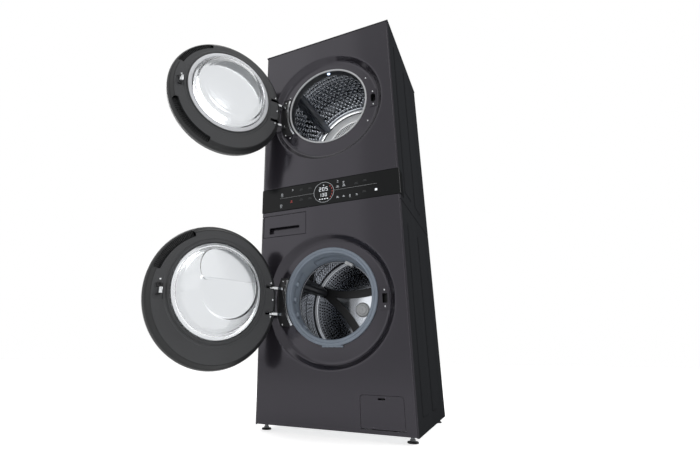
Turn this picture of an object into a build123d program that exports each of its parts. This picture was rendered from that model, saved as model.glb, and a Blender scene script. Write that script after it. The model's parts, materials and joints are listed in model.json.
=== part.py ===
"""Laundry tower: a front-loading washer with a tumble dryer stacked on it in one cabinet.

Millimetres. +Z is up, the front faces -Y and the origin is on the floor at the middle of the
cabinet's footprint. Both doors are modelled shut and then turned to the open rest pose.
"""

import os
from math import cos, radians, sin

from build123d import *

# Cabinet
cabinet_width = 600
cabinet_depth = 600
cabinet_height = 1655
underside = 20
seam_height = 822
sheet = 1.2
lid_height = 5
lid_wall = 3
side_return = 5
side_corner = 3
emboss_height = 2
emboss_margin = 50
emboss_top_margin = 70
emboss_places = (148, 348)
emboss_width = 130
emboss_corner = 14
emboss_taper = 45

# Front panels
panel_width = 582
panel_wall = 1.5
panel_flange = 18
panel_edge_round = 1
panel_gap = 1.5

# Round door recesses, called dishes
dish_rim_inset = 6
dish_taper = 22
dish_depth = 27
washer_dish_height = 465
dryer_dish_height = 1302
mouth_rise = 16.5
washer_mouth_inset = 74
dryer_mouth_inset = 71

# Control band
band_bottom = 843.5
band_height = 103.5
band_glass = 3
band_wall = 2.5
band_wrap = 60
band_side_inset = 1
notch_clearance = 0.5
display_place = (-10, 896.5)
display_radius = 45
display_clearance = 0.6
board_size = (320, 70)
board_thickness = 2

# Detergent drawer
drawer_left = -287
drawer_width = 196
drawer_bottom = 731
drawer_height = 93
drawer_gap = 1.2
drawer_front_depth = 24
drawer_wall = 2.5
grip_slot_size = (139, 27.5)
grip_slot_offset = (28, 12.5)
grip_slot_depth = 21
grip_lip = 8
grip_rise = 14
tray_inset = 6
tray_length = 276
tray_height = 62
tray_wall = 2
tray_dividers = (-40, 34)
runner_clearance = 0.3
housing_clearance = 1.5
housing_wall = 2.5
housing_end_gap = 6

# Drain filter access
cover_place = (184.5, 88)
cover_size = (147.4, 102.4)
cover_gap = 0.8
cover_swing_gap = 1.8
cover_thickness = 3
cover_corner = 10
cover_low_corner = 3
cover_notch_size = (26, 8)
cover_notch_drop = 5
cover_notch_corner = 3
cover_pivot_depth = 6.5
cover_pivot_rise = 5.5
cover_barrel_radius = 3
cover_barrel_length = 16
cover_pin_radius = 1.5
cover_lug_width = 4
filter_bore_radius = 30
filter_front_depth = 14
filter_length = 80
filter_grip_size = (44, 9, 12)
pump_radius = 38
pump_front_depth = 20
pump_length = 130
pump_foot_width = 50
pump_side_gap = 4
running_clearance = 0.05

# Feet and base
foot_spread = 270
foot_front_depth = 40
foot_rear_depth = 550
foot_pad_radius = 19
foot_pad_height = 9
foot_neck_radius = 11
foot_neck_height = 5
foot_stud_radius = 5
foot_stud_length = 30
foot_boss_wall = 8
foot_boss_height = 28
base_height = 50
base_wall = 3
stud_clearance = 0.3

# Washer tub, drum and direct drive
tub_radius = 266
tub_wall = 4
tub_front_depth = 82
tub_split_depth = 240
tub_back_depth = 470
tub_flange = 6
tub_flange_thickness = 5
collar_margin = 4
collar_wall = 6
collar_length = 12
drum_radius = 240
drum_wall = 1.5
drum_lip_inset = 21
drum_front_depth = 92
drum_back_depth = 440
drum_corner = 11
drum_inner_corner = 10.4
lifter_angle = 155
lifter_count = 3
lifter_base_width = 60
lifter_crest_width = 24
lifter_height = 56
lifter_round = 8
lifter_gap = 2.4
lifter_end_gap = 18
shaft_radius = 12.5
shaft_end_depth = 530
spider_hub_radius = 32
spider_arm_width = 40
spider_arm_reach = 222
spider_thickness = 15
hub_radius = 40
hub_end_depth = 500
bearing_radius = 26
bearing_width = 13
stator_inner_radius = 45
stator_outer_radius = 106
stator_thickness = 26
rotor_radius = 116
rotor_wall = 4
rotor_air_gap = 3
rotor_back_gap = 5
rotor_hub_radius = 22
weight_inner_radius = 205
weight_outer_radius = 262
weight_thickness = 18
weight_split = 70
spring_spread = 150
spring_depth = 380
spring_radius = 16
spring_wall = 4
spring_lug_height = 700
spring_lug_size = (36, 30)
damper_spread = 170
damper_depth = 260
damper_lug_height = 240
damper_lug_size = (40, 28)
damper_radius = 14
damper_height = 125
damper_bore_floor = 20
rod_radius = 6
rod_insertion = 80

# Door gasket
gasket_front_depth = 19
gasket_bead_margin = 8
gasket_bead_inset = 10
gasket_lip_inset = 20
gasket_neck_clearance = 0.3
gasket_rear_clearance = 0.1
gasket_bead_chamfer = 4
gasket_clamp_width = 6
gasket_wall = 4
gasket_neck_inset = 1
gasket_fold_inset = 8
gasket_fold_front = 24
gasket_fold_rear = 9
gasket_lip_front = 10

# Dryer drum, bulkheads and drive
dryer_drum_height = 1310
dryer_drum_radius = 267.5
dryer_drum_wall = 1.5
dryer_drum_front_depth = 64
dryer_drum_back_depth = 506.5
dryer_neck_radius = 205
glide_clearance = 0.3
dryer_lifter_angle = 138
dryer_shaft_radius = 10
dryer_shaft_length = 40
mouth_bead_margin = 5
mouth_bead_front_depth = 22
mouth_tube_inset = 3
mouth_tube_wall = 4
bulkhead_depth = 58
bulkhead_radius = 282
bulkhead_wall = 3
glide_length = 22
glide_wall = 5
rear_bulkhead_depth = 530
rear_bulkhead_bottom = 1010
rear_bulkhead_top = 1640
rear_boss_radius = 24
rear_boss_length = 30
belt_depth = 300
belt_width = 10
belt_thickness = 3
belt_clearance = 0.3
motor_place = (150, 905)
motor_radius = 45
motor_front_depth = 322
motor_length = 110
motor_foot_width = 64
motor_shaft_radius = 6
motor_shaft_inset = 40
pulley_radius = 12
pulley_width = 24
deck_bottom = 824
deck_rim = 16
deck_wall = 2
exchanger_place = (-125, 150)
exchanger_size = (230, 300, 150)
exchanger_fins = 24
exchanger_fin_thickness = 2
exchanger_tube_radius = 5
exchanger_tubes = (4, 2)

# Doors
door_radius = 258
door_back_gap = 3
door_thickness = 56
door_wall = 3
door_back_inset = 6
door_shoulder_share = 0.8
door_shoulder_inset = 11
door_turn_inset = 26
door_face_inset = 53
window_inset = 80
window_ledge = 8
ring_edge_inset = 9.3
ring_step_inset = 36
ring_step_height = 12
glass_inset = 86
glass_flange = 10
glass_thickness = 4
glass_rim_clearance = 2
washer_bowl_depth = 118
washer_bowl_inset = 60
dryer_bowl_depth = 60
dryer_bowl_inset = 40
bowl_throat_depth = 35
bowl_throat_inset = 20
washer_open_angle = 120.5
dryer_open_angle = 123

# Door hinges
hinge_inset = 21
hinge_forward = 24
hinge_arm_spread = 50
hinge_arm_thickness = 10
hinge_eye_radius = 8
hinge_root_inset = 49
hinge_root_depth = 17
hinge_pin_radius = 3
hinge_pin_reach = 15
hinge_plate_inset = 41
hinge_plate_width = 47
hinge_plate_screw_gap = 10
hinge_plate_thickness = 4
hinge_relief_margin = 12
hinge_plate_edge_gap = 4
hinge_slot_reach = (8, -59)
hinge_slot_margin = 1.5
knuckle_radius = 6
knuckle_height = 8
knuckle_gap = 0.5
spine_inset = 38
spine_width = 16
spine_back = 46
spine_thickness = 8
spine_half_height = 84
spine_pad_height = 14

# Door locks, hook, strike and screws
lock_inset = 48
lock_drop = 3
lock_size = (38, 78)
lock_depth = 28
washer_lock_slot = (18, 34)
dryer_lock_slot = (20, 40)
washer_slot_corner = 1
dryer_slot_corner = 9
lock_corner = 3
lock_slot_depth = 25
lock_screw_spread = 29.5
dryer_lock_screw_spread = 31
hook_size = (8, 20)
hook_reach = 44
hook_nose = (3.5, 6)
hook_pivot_depth = 4
hook_pin_radius = 2
hook_pin_reach = 18
hook_lug_size = (12, 11, 5)
hook_opening = (17, 28)
hook_opening_corner = 2
strike_size = (10, 24)
strike_reach = 38
strike_eye_radius = 4
screw_head_radius = 4.5
screw_head_height = 2
screw_shank_radius = 2
screw_shank_length = 6
screw_clearance = 0.2
dish_screw_inset = 42
dish_screw_angle = 30

# Rear fittings
inlet_height = 780
inlet_places = (-205, -160)
inlet_block = (90, 36, 40)
inlet_neck_radius = 14.5
inlet_spigot_radius = 13.2
inlet_spigot_length = 12
gland_place = (205, 780)
gland_radius = 10
gland_flange_radius = 15
gland_length = 8
gland_bore_radius = 4
fitting_clearance = 0.3

# Places worked out from the sizes above
dish_radius = door_radius - dish_rim_inset
dish_floor_radius = dish_radius - dish_taper
dish_screw_radius = dish_radius - dish_screw_inset
washer_mouth_radius = dish_radius - washer_mouth_inset
dryer_mouth_radius = dish_radius - dryer_mouth_inset
collar_radius = washer_mouth_radius + collar_margin
drum_lip_radius = washer_mouth_radius - drum_lip_inset
gasket_bead_radius = washer_mouth_radius + gasket_bead_margin
gasket_bead_inner = washer_mouth_radius - gasket_bead_inset
gasket_lip_radius = washer_mouth_radius - gasket_lip_inset
mouth_bead_radius = dryer_mouth_radius + mouth_bead_margin
mouth_tube_radius = dryer_mouth_radius - mouth_tube_inset
window_radius = door_radius - window_inset
ring_edge_radius = door_radius - ring_edge_inset
ring_step_radius = door_radius - ring_step_inset
glass_radius = door_radius - glass_inset
washer_bowl_radius = glass_radius - washer_bowl_inset
dryer_bowl_radius = glass_radius - dryer_bowl_inset
bowl_throat_radius = glass_radius - bowl_throat_inset
hinge_offset = hinge_inset - door_radius
hinge_arm_root = (hinge_root_inset - door_radius, hinge_root_depth)
hinge_plate_left = hinge_plate_inset - door_radius
hinge_plate_relief = washer_mouth_radius + hinge_relief_margin
hinge_plate_height = 2 * (dish_screw_radius * sin(radians(dish_screw_angle)) - hinge_plate_screw_gap)
hinge_slot = tuple(-door_radius - reach for reach in hinge_slot_reach)
spine_left = spine_inset - door_radius
lock_place_x = door_radius - lock_inset
front_y = -cabinet_depth / 2
back_y = cabinet_depth / 2
side_face = cabinet_width / 2 - emboss_height
side_inner = side_face - sheet
lid_bottom = cabinet_height - lid_height
band_top = band_bottom + band_height
washer_panel_top = band_bottom - panel_gap
dryer_panel_top = lid_bottom - panel_gap
dryer_panel_bottom = band_top + panel_gap
washer_mouth_height = washer_dish_height + mouth_rise
dryer_mouth_height = dryer_dish_height + mouth_rise
drawer_right = drawer_left + drawer_width
drawer_top = drawer_bottom + drawer_height
base_floor = underside + base_wall
deck_floor = deck_bottom + deck_wall
drum_axis_height = washer_dish_height
cover_bottom = cover_place[1] - cover_size[1] / 2
cover_pivot_height = cover_bottom + cover_pivot_rise
hinge_axis_y = front_y - hinge_forward
foot_top = foot_pad_height + foot_neck_height
foot_places = [
    (side * foot_spread, front_y + depth_back)
    for side in (-1, 1)
    for depth_back in (foot_front_depth, foot_rear_depth)
]


def depth(distance):
    """The y of a point this far behind the front panels."""
    return front_y + distance


def facing(y):
    """A plane seen from the front: its own axes are +X and +Z, and it extrudes forwards."""
    return Plane(origin=(0, y, 0), x_dir=(1, 0, 0), z_dir=(0, -1, 0))


def block(x_span, y_span, z_span, mode=Mode.ADD):
    """A rectangular block between two x, two y and two z values."""
    spans = (x_span, y_span, z_span)
    with Locations(tuple(sum(span) / 2 for span in spans)):
        Box(*(abs(high - low) for low, high in spans), mode=mode)


def rod(radius, start, direction, length, mode=Mode.ADD):
    """A round bar from a start point along a direction."""
    with Locations(Plane(origin=start, z_dir=direction)):
        Cylinder(radius, length, align=(Align.CENTER, Align.CENTER, Align.MIN), mode=mode)


def turned(points, axis_height, mode=Mode.ADD):
    """A body turned about the front-to-back axis at this height, from (y, radius) points."""
    with BuildSketch(
        Plane(origin=(0, 0, axis_height), x_dir=(0, 1, 0), z_dir=(1, 0, 0)), mode=Mode.PRIVATE
    ) as profile:
        with BuildLine():
            Polyline(*points, close=True)
        make_face()
    revolve(profile.sketch, axis=Axis((0, 0, axis_height), (0, 1, 0)), mode=mode)


def collar(outer, inner, y_from, y_to, axis_height, mode=Mode.ADD):
    """A plain ring about the front-to-back axis at this height."""
    turned([(y_from, inner), (y_to, inner), (y_to, outer), (y_from, outer)], axis_height, mode)


def window(width, height, centre, corner, y_from, y_to, mode=Mode.SUBTRACT):
    """A rounded rectangle seen from the front, cut or added between two y values."""
    with BuildSketch(facing(y_to), mode=Mode.PRIVATE) as outline:
        with Locations(centre):
            RectangleRounded(width, height, corner)
    extrude(outline.sketch, amount=y_to - y_from, mode=mode)


def save(builder, name):
    """Name a finished piece and write it out."""
    finish(builder.part, name)


def finish(solid, name):
    """Label a solid and write it as its own file."""
    solid.label = name
    export_step(solid, f"parts/{name}.step")


os.makedirs("parts", exist_ok=True)


# Cabinet shell

with BuildPart() as base_pan:
    base_front = depth(panel_flange)
    base_back = back_y - sheet
    block((-side_inner, side_inner), (base_front, base_back), (underside, underside + base_height))
    block(
        (-side_inner + base_wall, side_inner - base_wall),
        (base_front + base_wall, base_back - base_wall),
        (base_floor, underside + base_height),
        Mode.SUBTRACT,
    )
    pump_reach = pump_radius + pump_side_gap
    block(
        (cover_place[0] - pump_reach, cover_place[0] + pump_reach),
        (base_front, base_front + base_wall),
        (base_floor, underside + base_height),
        Mode.SUBTRACT,
    )
    for foot_x, foot_y in foot_places:
        boss_radius = foot_stud_radius + foot_boss_wall
        rod(boss_radius, (foot_x, foot_y, underside), (0, 0, 1), foot_boss_height)
    for foot_x, foot_y in foot_places:
        hole_radius = foot_stud_radius + stud_clearance
        rod(hole_radius, (foot_x, foot_y, underside), (0, 0, 1), foot_boss_height, Mode.SUBTRACT)
save(base_pan, "base_pan")

with BuildPart() as levelling_feet:
    for foot_x, foot_y in foot_places:
        rod(foot_pad_radius, (foot_x, foot_y, 0), (0, 0, 1), foot_pad_height)
        rod(foot_neck_radius, (foot_x, foot_y, foot_pad_height), (0, 0, 1), foot_neck_height)
        rod(foot_stud_radius, (foot_x, foot_y, foot_top), (0, 0, 1), foot_stud_length)
save(levelling_feet, "levelling_feet")


def side_panel(side, bottom, top):
    """A side sheet with its front return and two pressed panels; side is -1 left, 1 right."""
    with BuildPart() as panel:
        with BuildSketch(Plane.XY.offset(bottom)):
            with BuildLine():
                Polyline(
                    (side * (side_face - side_return), front_y),
                    (side * side_face, front_y),
                    (side * side_face, back_y),
                    (side * side_inner, back_y),
                    (side * side_inner, front_y + sheet),
                    (side * (side_face - side_return), front_y + sheet),
                    close=True,
                )
            make_face()
        extrude(amount=top - bottom)
        corner = panel.edges().filter_by(Axis.Z).sort_by_distance((side * side_face, front_y, bottom))
        fillet(corner[0], radius=side_corner)
        low = bottom + emboss_margin
        high = top - emboss_top_margin
        for place in emboss_places:
            for face, mode in ((side_face, Mode.ADD), (side_inner, Mode.SUBTRACT)):
                centre = (side * face, depth(place), (low + high) / 2)
                with BuildSketch(Plane(origin=centre, x_dir=(0, 1, 0), z_dir=(side, 0, 0))):
                    RectangleRounded(emboss_width, high - low, emboss_corner)
                extrude(amount=emboss_height, taper=emboss_taper, mode=mode)
        if bottom < band_top < top:
            block(
                (side * (side_face - side_return), side * side_face),
                (front_y, depth(band_wrap + notch_clearance)),
                (band_bottom - notch_clearance, band_top + notch_clearance),
                Mode.SUBTRACT,
            )
    return panel


for side, side_name in ((-1, "left"), (1, "right")):
    save(side_panel(side, underside, seam_height), f"washer_{side_name}_side")
    save(side_panel(side, seam_height, lid_bottom), f"dryer_{side_name}_side")

with BuildPart() as top_cover:
    half = cabinet_width / 2
    block((-half, half), (front_y, back_y), (lid_bottom, cabinet_height))
    block(
        (-half + lid_wall, half - lid_wall),
        (front_y + lid_wall, back_y - lid_wall),
        (lid_bottom, cabinet_height - sheet),
        Mode.SUBTRACT,
    )
    rim_edges = top_cover.faces().sort_by(Axis.Z)[-1].edges()
    fillet(rim_edges, radius=sheet)
save(top_cover, "top_cover")

with BuildPart() as rear_panel:
    block((-side_inner, side_inner), (back_y - sheet, back_y), (underside, lid_bottom))
    for inlet_x in inlet_places:
        hole_radius = inlet_neck_radius + fitting_clearance
        rod(hole_radius, (inlet_x, back_y - sheet, inlet_height), (0, 1, 0), sheet, Mode.SUBTRACT)
    gland_start = (gland_place[0], back_y - sheet, gland_place[1])
    rod(gland_radius + fitting_clearance, gland_start, (0, 1, 0), sheet, Mode.SUBTRACT)
save(rear_panel, "rear_panel")

with BuildPart() as mid_deck:
    deck_front = depth(panel_flange + panel_gap)
    deck_back = back_y - sheet
    block((-side_inner, side_inner), (deck_front, deck_back), (deck_bottom, deck_bottom + deck_rim))
    block(
        (-side_inner + deck_wall, side_inner - deck_wall),
        (deck_front + deck_wall, deck_back - deck_wall),
        (deck_floor, deck_bottom + deck_rim),
        Mode.SUBTRACT,
    )
save(mid_deck, "mid_deck")


# Front panels with their dishes


def screw_places(dish_height, lock_spread, with_dish_screws):
    """The (x, z) places of the screws on a dish floor."""
    lock_height = dish_height - lock_drop
    places = [(lock_place_x, lock_height - lock_spread), (lock_place_x, lock_height + lock_spread)]
    if with_dish_screws:
        for angle in (dish_screw_angle, -dish_screw_angle, 180 - dish_screw_angle, 180 + dish_screw_angle):
            across = dish_screw_radius * cos(radians(angle))
            rise = dish_screw_radius * sin(radians(angle))
            places.append((across, dish_height + rise))
    return places


washer_screws = screw_places(washer_dish_height, lock_screw_spread, False)
dryer_screws = screw_places(dryer_dish_height, dryer_lock_screw_spread, True)


def front_panel(bottom, top, dish_height, mouth_height, mouth_radius, slot, slot_corner, screws):
    """A flanged front sheet with a dish, its mouth, its lock slot and its screw holes."""
    floor = depth(dish_depth)
    with BuildPart() as panel:
        half = panel_width / 2
        block((-half, half), (front_y, depth(panel_flange)), (bottom, top))
        front_edges = panel.faces().sort_by(Axis.Y)[0].edges()
        fillet(front_edges, radius=panel_edge_round)
        block(
            (-half + panel_wall, half - panel_wall),
            (depth(panel_wall), depth(panel_flange)),
            (bottom + panel_wall, top - panel_wall),
            Mode.SUBTRACT,
        )
        collar(dish_radius, 0, front_y, depth(panel_flange), dish_height, Mode.SUBTRACT)
        turned(
            [
                (front_y, dish_radius),
                (floor, dish_floor_radius),
                (floor, 0),
                (floor + panel_wall, 0),
                (floor + panel_wall, dish_floor_radius + panel_wall),
                (depth(panel_wall), dish_radius + panel_wall),
            ],
            dish_height,
        )
        collar(mouth_radius, 0, floor, floor + panel_wall, mouth_height, Mode.SUBTRACT)
        slot_centre = (lock_place_x, dish_height - lock_drop)
        window(*slot, slot_centre, slot_corner, floor, floor + panel_wall)
        for screw_x, screw_z in screws:
            hole_radius = screw_shank_radius + screw_clearance
            rod(hole_radius, (screw_x, floor, screw_z), (0, 1, 0), panel_wall, Mode.SUBTRACT)
    return panel


washer_sheet = front_panel(
    underside + panel_gap,
    washer_panel_top,
    washer_dish_height,
    washer_mouth_height,
    washer_mouth_radius,
    washer_lock_slot,
    washer_slot_corner,
    washer_screws,
)

with BuildPart() as washer_front_panel:
    add(washer_sheet.part)
    block(
        (drawer_left - drawer_gap, drawer_right + drawer_gap),
        (front_y, depth(panel_wall)),
        (drawer_bottom - drawer_gap, drawer_top + drawer_gap),
        Mode.SUBTRACT,
    )
    window(
        cover_size[0] + 2 * cover_gap,
        cover_size[1] + cover_gap + cover_swing_gap,
        (cover_place[0], cover_place[1] + (cover_gap - cover_swing_gap) / 2),
        cover_corner + cover_gap,
        front_y,
        depth(panel_wall),
    )
    opening_half = cover_size[0] / 2 + cover_gap
    block(
        (cover_place[0] - opening_half, cover_place[0] + opening_half),
        (front_y, depth(panel_wall)),
        (cover_bottom - cover_swing_gap, cover_bottom + cover_corner),
        Mode.SUBTRACT,
    )
    for side in (-1, 1):
        lug_out = cover_place[0] + side * (cover_size[0] / 2 + cover_gap + cover_lug_width)
        lug_in = cover_place[0] + side * (cover_size[0] / 2 + cover_gap)
        block(
            (min(lug_out, lug_in), max(lug_out, lug_in)),
            (depth(panel_wall), depth(cover_pivot_depth + cover_barrel_radius)),
            (cover_pivot_height - cover_barrel_radius, cover_pivot_height + cover_barrel_radius),
        )
        pin_start = (lug_out, depth(cover_pivot_depth), cover_pivot_height)
        rod(cover_pin_radius, pin_start, (-side, 0, 0), cover_lug_width + cover_barrel_length)
save(washer_front_panel, "washer_front_panel")

save(
    front_panel(
        dryer_panel_bottom,
        dryer_panel_top,
        dryer_dish_height,
        dryer_mouth_height,
        dryer_mouth_radius,
        dryer_lock_slot,
        dryer_slot_corner,
        dryer_screws,
    ),
    "dryer_front_panel",
)

with BuildPart() as front_screws:
    for screw_x, screw_z in washer_screws + dryer_screws:
        head_back = (screw_x, depth(dish_depth), screw_z)
        rod(screw_head_radius, head_back, (0, -1, 0), screw_head_height)
        rod(screw_shank_radius, head_back, (0, 1, 0), screw_shank_length)
save(front_screws, "front_screws")


def door_lock(dish_height, slot, screw_spread):
    """A lock case behind the dish floor, open at its slot."""
    lock_height = dish_height - lock_drop
    lock_front = depth(dish_depth + panel_wall)
    with BuildPart() as lock:
        place = (lock_place_x, lock_height)
        window(*lock_size, place, lock_corner, lock_front, lock_front + lock_depth, Mode.ADD)
        window(*slot, place, washer_slot_corner, lock_front, lock_front + lock_slot_depth)
        for rise in (-screw_spread, screw_spread):
            hole_start = (lock_place_x, lock_front, lock_height + rise)
            hole_radius = screw_shank_radius + screw_clearance
            rod(hole_radius, hole_start, (0, 1, 0), screw_shank_length, Mode.SUBTRACT)
    return lock


save(door_lock(washer_dish_height, washer_lock_slot, lock_screw_spread), "washer_door_lock")
save(door_lock(dryer_dish_height, dryer_lock_slot, dryer_lock_screw_spread), "dryer_door_lock")


# Control band

with BuildPart() as control_glass:
    half = cabinet_width / 2 - band_side_inset
    low = band_bottom + panel_gap / 2
    high = band_top - panel_gap / 2
    block((-half, half), (front_y, depth(band_glass)), (low, high))
    front_edges = control_glass.faces().sort_by(Axis.Y)[0].edges()
    fillet(front_edges, radius=panel_edge_round)
save(control_glass, "control_glass")

with BuildPart() as control_housing:
    half = cabinet_width / 2 - band_side_inset
    low = band_bottom + panel_gap / 2
    high = band_top - panel_gap / 2
    block((-half, half), (depth(band_glass), depth(band_wrap)), (low, high))
    block(
        (-half + band_wall, half - band_wall),
        (depth(band_glass + band_wall), depth(band_wrap)),
        (low + band_wall, high - band_wall),
        Mode.SUBTRACT,
    )
    window_start = (display_place[0], depth(band_glass), display_place[1])
    rod(display_radius + display_clearance, window_start, (0, 1, 0), band_wall, Mode.SUBTRACT)
save(control_housing, "control_housing")

with BuildPart() as display_board:
    board_front = depth(band_glass + band_wall)
    board_half_width = board_size[0] / 2
    board_half_height = board_size[1] / 2
    block(
        (display_place[0] - board_half_width, display_place[0] + board_half_width),
        (board_front, board_front + board_thickness),
        (display_place[1] - board_half_height, display_place[1] + board_half_height),
    )
    lens_start = (display_place[0], board_front, display_place[1])
    rod(display_radius, lens_start, (0, -1, 0), band_wall - fitting_clearance)
save(display_board, "display_board")


# Detergent drawer

with BuildPart() as drawer_front:
    block((drawer_left, drawer_right), (front_y, depth(drawer_front_depth)), (drawer_bottom, drawer_top))
    front_edges = drawer_front.faces().sort_by(Axis.Y)[0].edges()
    fillet(front_edges, radius=panel_edge_round)
    block(
        (drawer_left + drawer_wall, drawer_right - drawer_wall),
        (depth(drawer_wall), depth(drawer_front_depth - drawer_wall)),
        (drawer_bottom + drawer_wall, drawer_top - drawer_wall),
        Mode.SUBTRACT,
    )
    slot_left = drawer_left + grip_slot_offset[0]
    slot_right = slot_left + grip_slot_size[0]
    slot_bottom = drawer_bottom + grip_slot_offset[1]
    slot_top = slot_bottom + grip_slot_size[1]
    block(
        (slot_left - drawer_wall, slot_right + drawer_wall),
        (depth(drawer_wall), depth(drawer_front_depth)),
        (slot_bottom - drawer_wall, slot_top + grip_rise + drawer_wall),
    )
    slot_back = depth(grip_slot_depth)
    block((slot_left, slot_right), (front_y, slot_back), (slot_bottom, slot_top), Mode.SUBTRACT)
    block(
        (slot_left, slot_right),
        (depth(grip_lip), slot_back),
        (slot_bottom, slot_top + grip_rise),
        Mode.SUBTRACT,
    )
save(drawer_front, "drawer_front")

tray_left = drawer_left + tray_inset
tray_right = drawer_right - tray_inset
tray_bottom = drawer_bottom + tray_inset
tray_top = tray_bottom + tray_height
tray_front = depth(drawer_front_depth)
tray_back = tray_front + tray_length

with BuildPart() as drawer_tray:
    block((tray_left, tray_right), (tray_front, tray_back), (tray_bottom, tray_top))
    inner_left = tray_left + tray_wall
    inner_right = tray_right - tray_wall
    middle = (tray_left + tray_right) / 2
    divider_edges = [inner_left]
    for divider in tray_dividers:
        divider_edges += [middle + divider - tray_wall / 2, middle + divider + tray_wall / 2]
    divider_edges.append(inner_right)
    for cell_left, cell_right in zip(divider_edges[0::2], divider_edges[1::2]):
        block(
            (cell_left, cell_right),
            (tray_front + tray_wall, tray_back - tray_wall),
            (tray_bottom + tray_wall, tray_top),
            Mode.SUBTRACT,
        )
save(drawer_tray, "drawer_tray")

with BuildPart() as dispenser_housing:
    floor_top = tray_bottom - runner_clearance
    inner_left = tray_left - housing_clearance
    inner_right = tray_right + housing_clearance
    housing_front = depth(drawer_front_depth + runner_clearance)
    housing_back = tray_back + housing_end_gap
    block(
        (inner_left - housing_wall, inner_right + housing_wall),
        (housing_front, housing_back + housing_wall),
        (floor_top - housing_wall, deck_bottom),
    )
    block(
        (inner_left, inner_right),
        (housing_front, housing_back),
        (floor_top, deck_bottom - housing_wall),
        Mode.SUBTRACT,
    )
save(dispenser_housing, "dispenser_housing")


# Drain filter behind its hinged cover

with BuildPart() as filter_cover:
    cover_back = depth(cover_thickness)
    window(*cover_size, cover_place, cover_corner, front_y, cover_back, Mode.ADD)
    strip_centre = (cover_place[0], cover_bottom + cover_corner)
    strip_height = 2 * cover_corner
    window(cover_size[0], strip_height, strip_centre, cover_low_corner, front_y, cover_back, Mode.ADD)
    notch_height = cover_place[1] + cover_size[1] / 2 - cover_notch_drop - cover_notch_size[1] / 2
    notch_centre = (cover_place[0], notch_height)
    window(*cover_notch_size, notch_centre, cover_notch_corner, front_y, cover_back)
    for side in (-1, 1):
        barrel_end = cover_place[0] + side * cover_size[0] / 2
        barrel_start = (barrel_end, depth(cover_pivot_depth), cover_pivot_height)
        rod(cover_barrel_radius, barrel_start, (-side, 0, 0), cover_barrel_length)
        barrel_inner = barrel_end - side * cover_barrel_length
        block(
            (min(barrel_end, barrel_inner), max(barrel_end, barrel_inner)),
            (depth(cover_thickness / 2), depth(cover_pivot_depth)),
            (cover_pivot_height - cover_barrel_radius, cover_pivot_height + cover_barrel_radius),
        )
        bore_radius = cover_pin_radius + running_clearance
        rod(bore_radius, barrel_start, (-side, 0, 0), cover_barrel_length, Mode.SUBTRACT)
save(filter_cover, "filter_cover")

with BuildPart() as drain_pump:
    pump_front = depth(pump_front_depth)
    rod(pump_radius, (cover_place[0], pump_front, cover_place[1]), (0, 1, 0), pump_length)
    pump_half = pump_foot_width / 2
    block(
        (cover_place[0] - pump_half, cover_place[0] + pump_half),
        (pump_front + base_wall, pump_front + pump_length),
        (base_floor, cover_place[1]),
    )
    bore_start = (cover_place[0], pump_front, cover_place[1])
    rod(filter_bore_radius, bore_start, (0, 1, 0), filter_length, Mode.SUBTRACT)
save(drain_pump, "drain_pump")

with BuildPart() as drain_filter:
    plug_start = (cover_place[0], depth(filter_front_depth), cover_place[1])
    rod(filter_bore_radius - running_clearance, plug_start, (0, 1, 0), filter_length)
    grip_width, grip_height, grip_depth = filter_grip_size
    block(
        (cover_place[0] - grip_width / 2, cover_place[0] + grip_width / 2),
        (depth(filter_front_depth) - grip_depth / 2, depth(filter_front_depth)),
        (cover_place[1] - grip_height / 2, cover_place[1] + grip_height / 2),
    )
save(drain_filter, "drain_filter")


# Washer tub on its springs and dampers

collar_front = depth(tub_front_depth - collar_length)
tub_front_y = depth(tub_front_depth)
tub_split_y = depth(tub_split_depth)
tub_back_y = depth(tub_back_depth)

with BuildPart() as tub_front:
    collar(tub_radius, 0, tub_front_y, tub_split_y, drum_axis_height)
    flange_front = tub_split_y - tub_flange_thickness
    collar(tub_radius + tub_flange, 0, flange_front, tub_split_y, drum_axis_height)
    collar(collar_radius, 0, collar_front, tub_front_y, washer_mouth_height)
    collar(tub_radius - tub_wall, 0, tub_front_y + tub_wall, tub_split_y, drum_axis_height, Mode.SUBTRACT)
    mouth_inner = collar_radius - collar_wall
    collar(mouth_inner, 0, collar_front, tub_front_y + tub_wall, washer_mouth_height, Mode.SUBTRACT)
save(tub_front, "tub_front")

with BuildPart() as tub_rear:
    collar(tub_radius, 0, tub_split_y, tub_back_y, drum_axis_height)
    collar(tub_radius + tub_flange, 0, tub_split_y, tub_split_y + tub_flange_thickness, drum_axis_height)
    for side in (-1, 1):
        lug_width, lug_length = spring_lug_size
        block(
            (side * spring_spread - lug_width / 2, side * spring_spread + lug_width / 2),
            (depth(spring_depth) - lug_length / 2, depth(spring_depth) + lug_length / 2),
            (drum_axis_height, spring_lug_height),
        )
        lug_width, lug_length = damper_lug_size
        block(
            (side * damper_spread - lug_width / 2, side * damper_spread + lug_width / 2),
            (depth(damper_depth) - lug_length / 2, depth(damper_depth) + lug_length / 2),
            (damper_lug_height, drum_axis_height),
        )
    inner_back = tub_back_y - tub_wall
    collar(tub_radius - tub_wall, 0, tub_split_y, inner_back, drum_axis_height, Mode.SUBTRACT)
    collar(hub_radius, 0, inner_back, depth(hub_end_depth), drum_axis_height)
    hub_bore = bearing_radius + running_clearance
    collar(hub_bore, 0, inner_back, depth(hub_end_depth), drum_axis_height, Mode.SUBTRACT)
save(tub_rear, "tub_rear")

with BuildPart() as drum_bearings:
    for bearing_front in (depth(tub_back_depth), depth(hub_end_depth) - bearing_width):
        bore = shaft_radius + running_clearance
        collar(bearing_radius, bore, bearing_front, bearing_front + bearing_width, drum_axis_height)
save(drum_bearings, "drum_bearings")

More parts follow.
